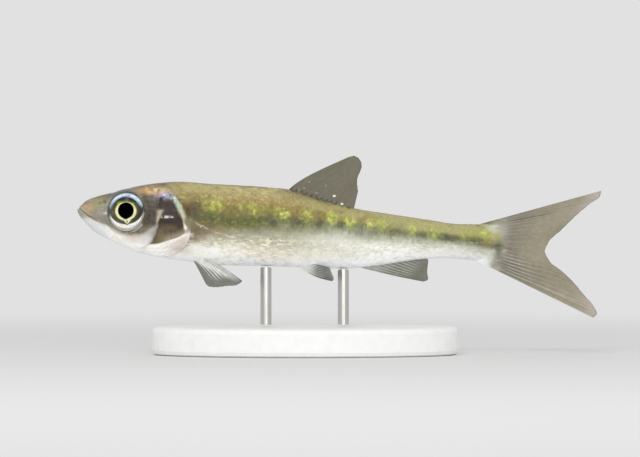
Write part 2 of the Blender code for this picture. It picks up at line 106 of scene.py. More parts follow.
def section(x):
    # back, belly, half width, widest height and squarenesses at x; both ends close as quarter rounds
    x = np.asarray(x, float)
    nose = np.sqrt(np.clip(1 - np.clip(1 - x / body["noseLength"], 0, 1) ** 2, 0, 1))
    end = np.sqrt(np.clip(1 - np.clip((x - body["stalkEnd"]) / body["stalkRound"], 0, 1) ** 2, 0, 1))
    middle = body["noseHeight"]
    back = (middle + (through(body["back"], x) - middle) * nose) * end
    belly = (middle + (through(body["belly"], x) - middle) * nose) * end
    widest = belly + (back - belly) * through(body["widestAt"], x)
    return (back, belly, through(body["halfWidth"], x) * nose, widest,
            through(body["backSquareness"], x), through(body["bellySquareness"], x))


def bareSkin(x, angle):
    # y is half width times cosine, z leaves the widest height by a power of sine: a superellipse
    back, belly, halfWidth, widest, squareUp, squareDown = section(x)
    sine = np.sin(angle)
    tall = np.where(sine > 0, back - widest, widest - belly)
    power = 2 / np.where(sine > 0, squareUp, squareDown)
    z = widest + tall * np.sign(sine) * np.abs(sine) ** power
    return np.stack([np.broadcast_to(x, np.shape(z)), halfWidth * np.cos(angle), z], axis=-1)


def outwards(x, angle):
    # the cross product of the surface's two small steps, kept off both closed ends
    step = 1e-3
    aft, fore = np.clip(x + step, 2 * step, tailTip - 10 * step), np.clip(x - step, step, tailTip - 20 * step)
    around = bareSkin(x, angle + step) - bareSkin(x, angle - step)
    normal = np.cross(around, bareSkin(aft, angle) - bareSkin(fore, angle))
    return normal / np.maximum(np.linalg.norm(normal, axis=-1, keepdims=True), 1e-12)


def lineField(points, x, z, count=40):
    # distance to a smooth line, on which side (1 is behind or below) and the share along it
    line = along(points, np.linspace(0, 1, count))
    start, step = line[:-1], np.diff(line, axis=0)
    toX, toZ = x[..., None] - start[:, 0], z[..., None] - start[:, 1]
    t = np.clip((toX * step[:, 0] + toZ * step[:, 1]) / (step**2).sum(axis=1), 0, 1)
    away = np.hypot(toX - t * step[:, 0], toZ - t * step[:, 1])
    best = away.argmin(axis=-1)[..., None]
    turn = step[:, 0] * toZ - step[:, 1] * toX
    side = np.sign(np.take_along_axis(turn, best, -1)[..., 0])
    share = (best[..., 0] + np.take_along_axis(t, best, -1)[..., 0]) / (count - 1)
    return np.take_along_axis(away, best, -1)[..., 0], side, share


def aheadOf(points, side):
    # 1 ahead of a line, else 0; which sign is ahead is tested at a place 1 mm ahead of the line's middle
    x, z = along(points, [0.4])[0]
    sign = lineField(points, np.array([x - 1.0]), np.array([z]))[1][0]
    return ((side > 0) == (sign > 0)).astype(float)


noiseCells = 24
noiseTable = np.random.default_rng(7).random((noiseCells, noiseCells, noiseCells))


def cloud(points, size, shift=0.0):
    # value noise: a table of random numbers, read with eased steps between its cells; 0 to 1
    at = np.asarray(points) / size + shift
    cell = np.floor(at).astype(int)
    f = at - cell
    f = f * f * (3 - 2 * f)
    total = 0
    for corner in np.ndindex(2, 2, 2):
        weight = np.prod(np.where(corner, f, 1 - f), axis=-1)
        x, y, z = np.moveaxis((cell + corner) % noiseCells, -1, 0)
        total = total + weight * noiseTable[x, y, z]
    return total


def grains(points, size, shift, low, high):
    # patches where the noise is high, with soft edges
    return smooth(low, high, cloud(points, size, shift))


# a crease: its line, height, width, and the shares of the line where it fades in and out
head = {
    "reliefTo": 19, "mouth": [(-0.8, 5.72), (0.24, 4.97), (1.25, 4.17), (2.24, 3.47)],
    "mouthDeep": 0.11, "mouthWide": 0.07, "lipProud": 0.11, "lipAway": 0.27, "lipWide": 0.15,
    "eye": (7.05, 4.46), "eyeRadii": (2.6, 2.78), "socketDeep": 1.25, "rimProud": 0.07,
    "nostrils": [(3.95, 5.95, 0.22, 0.13), (3.3, 5.72, 0.15, 0.05)],      # length, height, radius, depth
    "creases": [
        ([(1.9, 3.72), (2.9, 3.2), (3.9, 2.55), (4.5, 1.9), (4.55, 1.45)], 0.07, 0.22, (0, 0.15), (1, 0.8)),
        ([(2.24, 3.47), (3.4, 2.6), (4.45, 1.5), (5.1, 0.2), (5.3, -1.5)], -0.03, 0.13, (-1, 0), (0.85, 0.6)),
        ([(4.6, 3.2), (5.2, 2.2), (6.3, 1.45), (7.6, 1.3), (8.9, 1.8), (9.9, 2.9), (10.2, 4.4), (9.8, 5.8)],
         -0.045, 0.14, (0, 0.1), (1, 0.9)),
        ([(9.9, -0.35), (11.2, -0.35), (12.8, 0.05), (14.4, 0.75), (15.6, 1.5)], -0.08, 0.1, (0, 0.1), (1, 0.9)),
        ([(8.6, -0.95), (10.4, -0.85), (12.4, -0.85), (14.0, -0.3), (15.3, 0.6)], -0.05, 0.09, (0, 0.15), (1, 0.85)),
        ([(8.4, -1.1), (10.4, -1.25), (12.4, -1.4), (14.1, -0.95), (15.5, 0.0)], -0.05, 0.09, (0, 0.15), (1, 0.85))],
    "cheekEdge": [(12.2, 7.2), (11.9, 6.0), (11.8, 4.4), (11.75, 3.2), (11.5, 2.1), (11.15, 1.0), (10.5, 0.0),
                  (9.2, -0.7), (7.6, -0.55)],
    "gillOpening": [(13.2, 7.6), (13.95, 6.95), (14.9, 5.9), (15.6, 4.5), (16.1, 2.8), (16.25, 1.1), (15.75, -0.3),
                    (14.6, -1.3), (12.8, -1.85), (10.4, -1.65), (8.0, -0.95)],
    # a flap's fades, its height and width ahead of the line, its depth, width and shift behind it
    "flaps": {"cheekEdge": ((0, 0.12), (1, 0.85), (0.08, 0.6), (0.06, 0.35, 0)),
              "gillOpening": ((0.02, 0.16), (1, 0.82), (0.13, 0.9), (0.2, 0.4, 0.05))},
    "crownLine": [(0, 5.2), (4, 6.0), (7, 7.0), (10, 7.4), (14, 7.7)],
    "cheekLow": [(0, 4.4), (2.2, 3.4), (3.6, 2.75), (4.3, 2.45), (5.8, 1.65), (7.1, 1.1), (8.4, 0.95), (9.5, 1.2),
                 (10.5, 1.85), (11.4, 2.4), (14, 2.4)],
    # the dark plate's front and rear by height, its bottom by length
    "plateFront": [(-2.5, 9.0), (-0.5, 10.1), (-0.1, 10.65), (1.0, 11.3), (2.2, 11.6), (3.7, 11.85), (4.9, 11.8),
                   (7.2, 12.0)],
    "plateRear": [(-2.5, 15.0), (0.4, 15.6), (1.4, 15.6), (2.5, 15.4), (4.6, 14.65), (6.1, 13.95), (7.2, 13.4)],
    "plateBottom": [(9, -0.5), (9.7, -0.3), (11.6, -0.1), (13.3, 0.4), (14.8, 0.9), (15.6, 1.4), (17, 2.2)],
}


def relief(point):
    # how far the skin stands out: bells along the lines of mouth, plates and openings, a bowl for the eye
    out = np.zeros(point.shape[:-1])
    near = point[..., 0] < head["reliefTo"]
    x, z = point[near][:, 0], point[near][:, 2]
    off, side, share = lineField(head["mouth"], x, z)
    here = smooth(1.0, 0.9, share) * (bell(off - head["lipAway"], head["lipWide"]) * head["lipProud"]
                                      - bell(off, head["mouthWide"]) * head["mouthDeep"])
    for line, high, wide, fadeIn, fadeOut in head["creases"]:
        off, side, share = lineField(line, x, z)
        here += high * bell(off, wide) * smooth(*fadeIn, share) * smooth(*fadeOut, share)
    r = np.hypot((x - head["eye"][0]) / head["eyeRadii"][0], (z - head["eye"][1]) / head["eyeRadii"][1]) * 2.5
    here += head["rimProud"] * bell(r - 2.8, 0.14) - 0.04 * bell(r - 3.15, 0.16)
    here -= head["socketDeep"] * smooth(2.6, 2.4, r)
    for px, pz, radius, deep in head["nostrils"]:
        r = np.hypot(x - px, z - pz)
        here += 0.04 * bell(r - radius * 1.55, radius * 0.45) - deep * smooth(radius * 1.15, radius * 0.7, r)
    for name, (fadeIn, fadeOut, (high, wide), (deep, narrow, shift)) in head["flaps"].items():
        off, side, share = lineField(head[name], x, z)
        ahead = aheadOf(head[name], side)
        here += (smooth(*fadeIn, share) * smooth(*fadeOut, share)
                 * (high * ahead * bell(off, wide) - deep * (1 - ahead) * bell(off - shift, narrow)))
    out[near] = here
    return out


colours = {name: linear(value) for name, value in {
    "topLineAndShade": "#5f5a3c", "backTan": "#b0a470", "backOchre": "#9a8850", "flankOlive": "#747030",
    "bandOlive": "#5c602a", "bandDark": "#464c2c", "blotch": "#3a3626", "russet": "#86683c", "greyFlank": "#a5a48c",
    "silver": "#c8c3ae", "rimOlive": "#837858", "cream": "#e2dcc6", "white": "#fcfcf8", "bellyBlue": "#f1f4ff",
    "lime": "#a2ac3a", "gold": "#cdd066", "stalkSilver": "#cbcebe", "stalkLilac": "#c2c2c6", "stalkWhite": "#e6e6de",
    "crown": "#7f7e6e", "crownBlue": "#65717a", "snout": "#bfa27c", "nosePatch": "#98976a", "cheek": "#857f6e",
    "cheekDarkAndShade": "#3c342b", "jaw": "#e2e5e6", "throat": "#e9e4e0", "plateDark": "#2c1b12", "plateBrown": "#786b4c",
    "plateRim": "#b9ae98", "plateEdge": "#fbf6ea", "nape": "#c39c66", "napeCream": "#e6d3a8", "creamPale": "#f7f0d4",
    "napeDark": "#6e5238", "sheenBlue": "#a3b0de", "sheenViolet": "#c4b4d2", "sheenGreen": "#9cc2a4",
    "shoulder": "#8e7a60", "shoulderDarkAndShade": "#453b24", "lineWhite": "#e2dac6", "pink": "#dcc6bc", "finGrey": "#8f8874",
    "lavender": "#e4dee2", "greyBand": "#868b7a", "cheekGrey": "#aaa7a0", "boneGrey": "#cdc3bd",
    "stalkTan": "#a9a472", "stalkGold": "#938c4a", "limeBright": "#bedb55", "snoutViolet": "#aea29e",
}.items()}
marks = {
    "band": [(13, 4.2), (18, 3.4), (27, 3.25), (31.5, 2.95), (34.8, 2.8), (37.8, 2.6), (40.3, 2.25), (46.2, 1.43),
             (53.4, 0.72), (57.3, 0.2), (60.6, -0.9)],
    "bandHalf": [(13, 0.9), (18, 1.15), (27, 1.1), (31, 0.85), (40, 0.68), (50, 0.5), (60.6, 0.6)],
    "glow": [(16, 5.4), (20, 5.3), (25.2, 4.85), (29.6, 4.25), (32.8, 3.87), (36.6, 3.6), (39.1, 3.05), (42.1, 2.73),
             (48, 1.87), (50.8, 1.4), (55.7, 1.0), (58.3, 1.29), (60.6, 1.2)],
    "blotches": [28.3, 31.4, 34.7, 37.7, 40.3, 42.9, 45.2, 48.9, 52.6, 55.6, 57.6, 60.2],
    "stalkEndSpot": (60.35, -0.7, 0.5, 1.2),
    "glowSpots": [(18.8, 0.9, 0.8), (20.2, 0.8, 1.0), (23.4, 0.5, 0.5), (25.3, 0.75, 0.9), (26.8, 0.45, 0.25),
                  (29.4, 0.9, 1.15), (32.8, 0.7, 0.9), (36.4, 0.75, 0.85), (39.0, 0.7, 0.9), (42.0, 0.8, 0.8),
                  (43.7, 0.5, 0.7), (48.0, 0.5, 0.85), (51.0, 0.7, 0.85), (55.6, 0.6, 0.45)],
    "grainsFrom": [(-4, 15.6), (-0.6, 16.6), (2.6, 17.2), (4.4, 16.9), (7, 15.0), (8.8, 13.4)],    # by height
}
# colours by share of the height: over the band up to the back, under it down to the belly, up the head
ramps = {
    "overFront": [(0, "bandOlive"), (0.22, "flankOlive"), (0.5, "backOchre"), (0.8, "backTan"), (0.95, "backTan"),
                  (1.04, "topLineAndShade")],
    "overRear": [(0, "bandOlive"), (0.3, "stalkTan"), (0.95, "stalkTan"), (1.04, "topLineAndShade")],
    "underFront": [(0, "bandOlive"), (0.12, "flankOlive"), (0.28, "greyFlank"), (0.52, "silver"), (0.72, "cream"),
                   (0.88, "white"), (1, "bellyBlue")],
    "underRear": [(0, "bandOlive"), (0.2, "greyFlank"), (0.36, "stalkSilver"), (0.5, "stalkSilver"),
                  (0.66, "stalkWhite"), (1, "bellyBlue")],
    "head": [(-0.5, "white"), (-0.15, "white"), (-0.06, "throat"), (0.07, "cheek"), (0.75, "cheek"), (1.0, "crown"),
             (1.3, "napeDark")],
}
# soft ellipses: colour, middle, half axes, strength, and for some the noise that breaks them
patches = {
    "belly": [("creamPale", 25.5, -1.3, 4.5, 1.0, 0.65, 0.8, 101.0, 0.42, 0.62),
              ("pink", 27.0, -1.3, 3.0, 0.8, 0.5, 0.7, 43.7, 0.3, 0.6)],
    "flank": [("greyFlank", 57.8, -1.0, 2.4, 0.7, 0.55), ("stalkLilac", 56.8, -1.9, 2.6, 0.6, 0.5),
              ("greyFlank", 29.6, 0.1, 3.0, 0.9, 0.6), ("greyFlank", 25.5, 1.0, 4.0, 0.8, 0.35),
              ("greyFlank", 27.3, 1.3, 1.3, 0.8, 0.6), ("greyFlank", 29.8, 2.4, 1.0, 0.5, 0.5),
              ("stalkSilver", 38.8, 1.3, 1.6, 0.6, 0.45), ("stalkWhite", 37.3, 0.2, 3.0, 0.7, 0.35),
              ("stalkWhite", 48.0, 0.2, 1.4, 0.6, 0.35), ("bandDark", 45.8, 2.3, 1.1, 0.5, 0.25),
              ("greyBand", 55.0, 0.2, 1.4, 0.5, 0.45), ("silver", 29.0, -2.4, 2.5, 0.7, 0.3),
              ("boneGrey", 15.7, -1.2, 0.9, 0.6, 0.6), ("stalkSilver", 36.0, 0.9, 2.4, 0.5, 0.6),
              ("stalkTan", 38.5, -1.5, 3.0, 0.6, 0.22), ("greyBand", 40.8, 1.7, 1.8, 0.8, 0.65),
              ("lime", 57.0, 1.2, 1.6, 0.5, 0.5), ("bandDark", 53.9, 0.5, 1.6, 0.45, 0.5),
              ("bandDark", 26.3, 1.9, 1.3, 0.6, 0.28), ("flankOlive", 58.5, -0.4, 1.0, 0.5, 0.35),
              ("greyBand", 56.1, -0.35, 1.1, 0.4, 0.3), ("russet", 30.9, 6.5, 1.4, 0.7, 0.3),
              ("backTan", 35.5, 6.1, 1.3, 0.5, 0.4), ("flankOlive", 22.4, 4.5, 0.8, 0.9, 0.95),
              ("flankOlive", 17.2, 6.7, 2.2, 0.8, 0.3)],
    "shoulder": [("shoulder", 18.2, 1.7, 2.6, 0.95, 0.85), ("shoulder", 16.8, 0.7, 0.9, 0.7, 0.85),
                 ("greyFlank", 16.1, 3.0, 0.6, 0.8, 0.5), ("shoulderDarkAndShade", 17.1, 1.7, 0.85, 0.9, 0.55),
                 ("shoulderDarkAndShade", 18.4, 2.0, 1.5, 1.1, 0.2), ("shoulderDarkAndShade", 17.3, 5.5, 1.0, 0.8, 0.4)],
    "cheek": [("cheekGrey", 4.5, 4.3, 1.3, 1.4, 0.45), ("cheekGrey", 3.3, 4.2, 1.0, 0.8, 0.4)],
    "nose": [("snoutViolet", 1.9, 6.1, 1.0, 0.3, 0.6), ("plateRim", 0.5, 5.0, 0.6, 0.5, 0.5),
             ("cheek", 0.5, 3.9, 0.9, 0.55, 0.75)],
    "throat": [("boneGrey", 9.1, 0.2, 1.4, 0.5, 0.35), ("boneGrey", 2.2, 2.6, 1.2, 0.6, 0.3)],
    "jaw": [("pink", 8.2, 0.5, 1.8, 0.4, 0.35), ("boneGrey", 10.1, 0.4, 0.8, 0.6, 0.4),
            ("napeCream", 6.0, 0.9, 2.6, 0.8, 0.45, 0.3, 103.0, 0.5, 0.7)],
    # under the gill cover: the first bones entry and the first ridge entry are painted shadow
    "bones": [("shoulderDarkAndShade", 14.6, -0.7, 0.9, 0.3, 0.45), ("boneGrey", 15.0, -0.6, 1.6, 0.75, 0.7)],
    "ridge": [("shoulder", 15.2, 0.3, 0.9, 0.6, 0.35), ("napeCream", 14.9, 0.6, 0.8, 0.35, 0.5)],
    "gleam": [("sheenBlue", 12.9, 6.75, 1.3, 0.45, 0.7, 0.3, 15.2, 0.35, 0.6),
              ("sheenViolet", 12.2, 6.95, 1.0, 0.45, 0.7, 0.28, 16.4, 0.4, 0.65)],
    "glitter": [("white", 12.9, 6.8, 0.8, 0.25, 0.6, 0.2, 115.0, 0.58, 0.75),
                ("plateEdge", 14.3, 6.5, 0.8, 0.7, 0.55, 0.22, 23.1, 0.66, 0.85)],
}


def mixed(first, second, weight):
    # from the first colour to the second by the weight
    weight = np.clip(weight, 0, 1)[..., None]
    return first * (1 - weight) + second * weight


def painted(colour, layers, palette=colours):
    # named colours laid over one another, each by its weight
    for name, weight in layers:
        colour = mixed(colour, palette[name], weight)
    return colour


def blob(x, z, atX, atZ, wide, high):
    # a bell over an ellipse
    return bell(np.hypot((x - atX) / wide, (z - atZ) / high), 1.0)


def patched(point, key, mask=1.0):
    # a table's ellipses as layers to paint, kept inside the mask
    layers = []
    for name, atX, atZ, wide, high, strength, *noise in patches[key]:
        weight = blob(point[..., 0], point[..., 2], atX, atZ, wide, high) * strength * mask
        layers.append((name, weight * grains(point, *noise) if noise else weight))
    return layers


def ramp(value, stops):
    # straight steps between named colours
    at = [place for place, name in stops]
    table = np.array([colours[name] for place, name in stops])
    return np.stack([np.interp(value, at, channel) for channel in table.T], axis=-1)


def levels(x):
    # heights of back, belly and dark band at a length
    return [through(stations, x) for stations in (body["back"], body["belly"], marks["band"])]


def finShare(point):
    # 0 on the stalk, 1 on the tail fin; the change is ragged and comes sooner towards the belly
    ragged = (cloud(point * np.array([0.4, 1.0, 1.0]), 0.35, 17.0) - 0.5) * 1.8
    return smooth(60.1, 62.2, point[..., 0] + ragged + 0.25 * np.abs(point[..., 2]))


def glowShare(x, z):
    # how much of the bright spots over the band: bells over ellipses on the spots' own line
    glow = through(marks["glow"], x)
    return sum(power * blob(x, z, at, glow, wide, 0.72) for at, wide, power in marks["glowSpots"])


def silvering(point):
    # how mirror-like the skin is: silver plates below the band and on the lower head, none on the back
    back, belly, band = levels(point[..., 0])
    return smooth(0.25, -0.35, (point[..., 2] - band) / (back - belly)) * 0.9 + 0.1


def fineShares(point):
    # where the material draws its fine grains, and the distance to the lateral line in millimetres
    x, z = point[..., 0], point[..., 2]
    back, belly, band = levels(x)
    above, below = (z - band) / (back - band), (band - z) / (band - belly)
    behind = smooth(0, 1, x - through(marks["grainsFrom"], z))
    off, side, share = lineField(lateralLine, x, z)
    fleck = 0.55 + 0.28 * bell(x - 26, 4) - 0.3 * bell(x - 35, 5) + 0.3 * bell(x - 45, 4) - 0.2 * smooth(50, 54, x)
    shares = {
        "dots": smooth(0.25, 0.6, above) * smooth(1.0, 0.9, above) * (0.7 - 0.5 * smooth(26, 44, x)),
        "fleck": smooth(0.3, 0.5, below) * fleck,
        "bright": np.clip(glowShare(x, z), 0, 1) * (0.45 + 0.55 * smooth(19, 27, x) + 0.4 * bell(x - 36, 5)),
        "teeth": bell(z - band + 0.75, 0.6) * smooth(24, 30, x) * (1 - 0.65 * smooth(47, 53, x)),
        "rust": smooth(0.02, 0.15, above) * smooth(0.65, 0.35, above) * (0.25 + 0.6 * smooth(46, 36, x)),
        "inBand": bell(z - band, 1.1 * through(marks["bandHalf"], x))}
    return {**{key: value * behind for key, value in shares.items()}, "silvering": silvering(point),
            "lineOff": np.where((behind > 0.1) | (x > 16.3), off * side, 9.0),
            "lineShow": smooth(50, 26, x) * (0.8 - 0.3 * smooth(22, 19, x)) + 0.1}


def bodyMarkings(point):
    # colour by height over and under the dark band, then the band, its blotches and bright spots, the lateral line
    x, z = point[..., 0], point[..., 2]
    back, belly, band = levels(x)
    wobble = (cloud(point, 0.9, 3.1) - 0.5) * 0.07 + (cloud(point, 0.35, 9.7) - 0.5) * 0.05
    above, below = (z - band) / (back - band) + wobble, (band - z) / (band - belly) + wobble
    aft = smooth(24, 44, x)
    over = mixed(ramp(above, ramps["overFront"]), ramp(above, ramps["overRear"]), aft)
    under = mixed(ramp(below, ramps["underFront"]), ramp(below, ramps["underRear"]), aft)
    colour = painted(np.where((z > band)[..., None], over, under), [
        ("napeCream", grains(point, 0.24, 61.0, 0.62, 0.85) * smooth(0.35, 0.6, above) * (1 - 0.9 * aft) * 0.4),
        ("russet", grains(point, 0.5, 71.3, 0.6, 0.86) * smooth(0.15, 0.4, above) * (1 - 0.8 * aft) * 0.4)])
    fore = smooth(15.5, 17, x) * smooth(30, 25, x) * (0.9 * bell(z - 2.0, 1.9) + 1.3 * bell(z - 4.6, 0.9))
    colour = colour * (1 - np.array([0.14, 0.14, 0.22]) * fore[..., None])

    inBand = bell((z - band) / through(marks["bandHalf"], x) + (cloud(point, 0.55, 5.3) - 0.5) * 0.54, 1.0)
    spotty = np.clip(sum(bell(x - at, 0.8 if at < 48 else 1.2) for at in marks["blotches"]), 0, 1)
    glow, bright = through(marks["glow"], x), glowShare(x, z)
    leaning = np.stack([x * 0.5, point[..., 1], (z + 0.2 * x) * 2.2], axis=-1)
    steep = np.stack([x + z, point[..., 1], z * 1.7 - x * 0.3], axis=-1)
    colour = painted(colour, [
        ("bandDark", inBand * (0.34 - 0.3 * bell(x - 41.5, 7) + 0.42 * bell(x - 52, 4)) * smooth(13, 18, x)),
        ("greyFlank", bell(z - band + 0.9, 0.9) * smooth(29, 37, x) * smooth(56, 48, x) * 0.6),
        ("blotch", inBand * spotty * (0.78 - 0.4 * bell(x - 41.5, 5)) * (0.5 + cloud(point, 0.4, 1.9))),
        ("russet", bell(z - band - 1.4, 0.75) * grains(point, 0.8, 77.0, 0.38, 0.58) * smooth(46, 40, x) * 0.7),
        ("lime", bright * (grains(point, 0.3, 12.4, 0.32, 0.6) * 0.85 + 0.15)),
        ("limeBright", bright * grains(point, 0.2, 20.1, 0.55, 0.8) * 0.8),
        ("lime", bell(z - glow, 0.8) * smooth(16, 20, x) * grains(point, 0.5, 31.7, 0.5, 0.75) * 0.3),
        ("gold", grains(point, 0.6, 41.3, 0.55, 0.8) * smooth(0.4, 0.55, below) * smooth(0.9, 0.7, below)
         * (1 - aft) * 0.42),
        *patched(point, "belly"),
        ("cream", grains(leaning, 0.4, 47.9, 0.52, 0.8) * smooth(0.12, 0.35, below) * (0.5 - 0.2 * aft)),
        ("white", smooth(0.5, 0.68, below) * bell(x - 19.5, 4.2) * 0.9),
        ("white", blob(x, z, 44.2, -1.3, 4.0, 1.1) * 0.7),
        ("white", grains(steep, 0.26, 87.0, 0.56, 0.78) * smooth(0.28, 0.5, below)
         * (0.4 + 0.4 * bell(x - 43, 5) + 0.2 * bell(x - 20, 5))),
        *patched(point, "flank"),
        ("sheenBlue", grains(point, 0.35, 97.0, 0.5, 0.7) * bell(below - 0.9, 0.09) * bell(x - 25, 7) * 0.5)])
    mottle = 0.5 * cloud(point, 0.28, 91.0) + 0.5 * cloud(leaning, 0.5, 93.0) - 0.5
    colour = colour * (1 + 0.6 * mottle * smooth(-0.2, 0.1, above) * (1 - 0.6 * aft))[..., None]

    off = lineField(lateralLine, x, z)[0]
    beads, startsAt = 0.45 + 0.55 * np.sin(x * 2 * math.pi), smooth(15.8, 16.8, x)
    return painted(colour, [
        ("stalkSilver", smooth(57.5, 59.5, x) * smooth(-0.6, -1.2, z) * 0.7),
        ("shoulder", bell(off, 0.32) * smooth(34, 24, x) * startsAt * 0.4),
        ("lineWhite", bell(off, 0.1) * beads * (0.65 - 0.4 * smooth(24, 34, x)) * startsAt),
        ("shoulderDarkAndShade", blob(x, z, 16.6, 4.7, 1.6, 1.4) * (0.7 + 0.5 * cloud(point, 0.4, 14.0)) * 0.9),
        *patched(point, "shoulder"),
        # painted shadow under the dorsal fin's root, in the colour of the back's top line
        ("topLineAndShade", bell(z - back + 0.3, 0.45) * smooth(28.5, 30, x) * smooth(37.5, 35.5, x) * 0.45),
        ("blotch", bell(z - back + 0.1, 0.2) * smooth(-0.2, 0.4, np.sin(x * 7)) * smooth(30, 31, x)
         * smooth(39.8, 39, x) * 0.7),
        ("stalkGold", blob(x, z, 58.9, 0.45, 0.8, 0.75) * 0.8),
        ("finGrey", smooth(58.3, 60.4, x) * smooth(-1.0, -1.7, z) * 0.75),
        # painted highlight: silver glints on the tail's upper root
        ("stalkSilver", blob(x, z, 59.8, 2.15, 0.95, 0.5) * (0.6 + 0.6 * cloud(point, 0.25, 83.0))),
        ("gold", blob(x, z, 59.0, 0.9, 0.5, 0.2) * 0.35),
        ("limeBright", blob(x, z, 58.2, 1.42, 0.42, 0.24)),
        ("finGrey", finShare(point)),
        ("bandDark", blob(x, z, *marks["stalkEndSpot"]) * 0.75)])


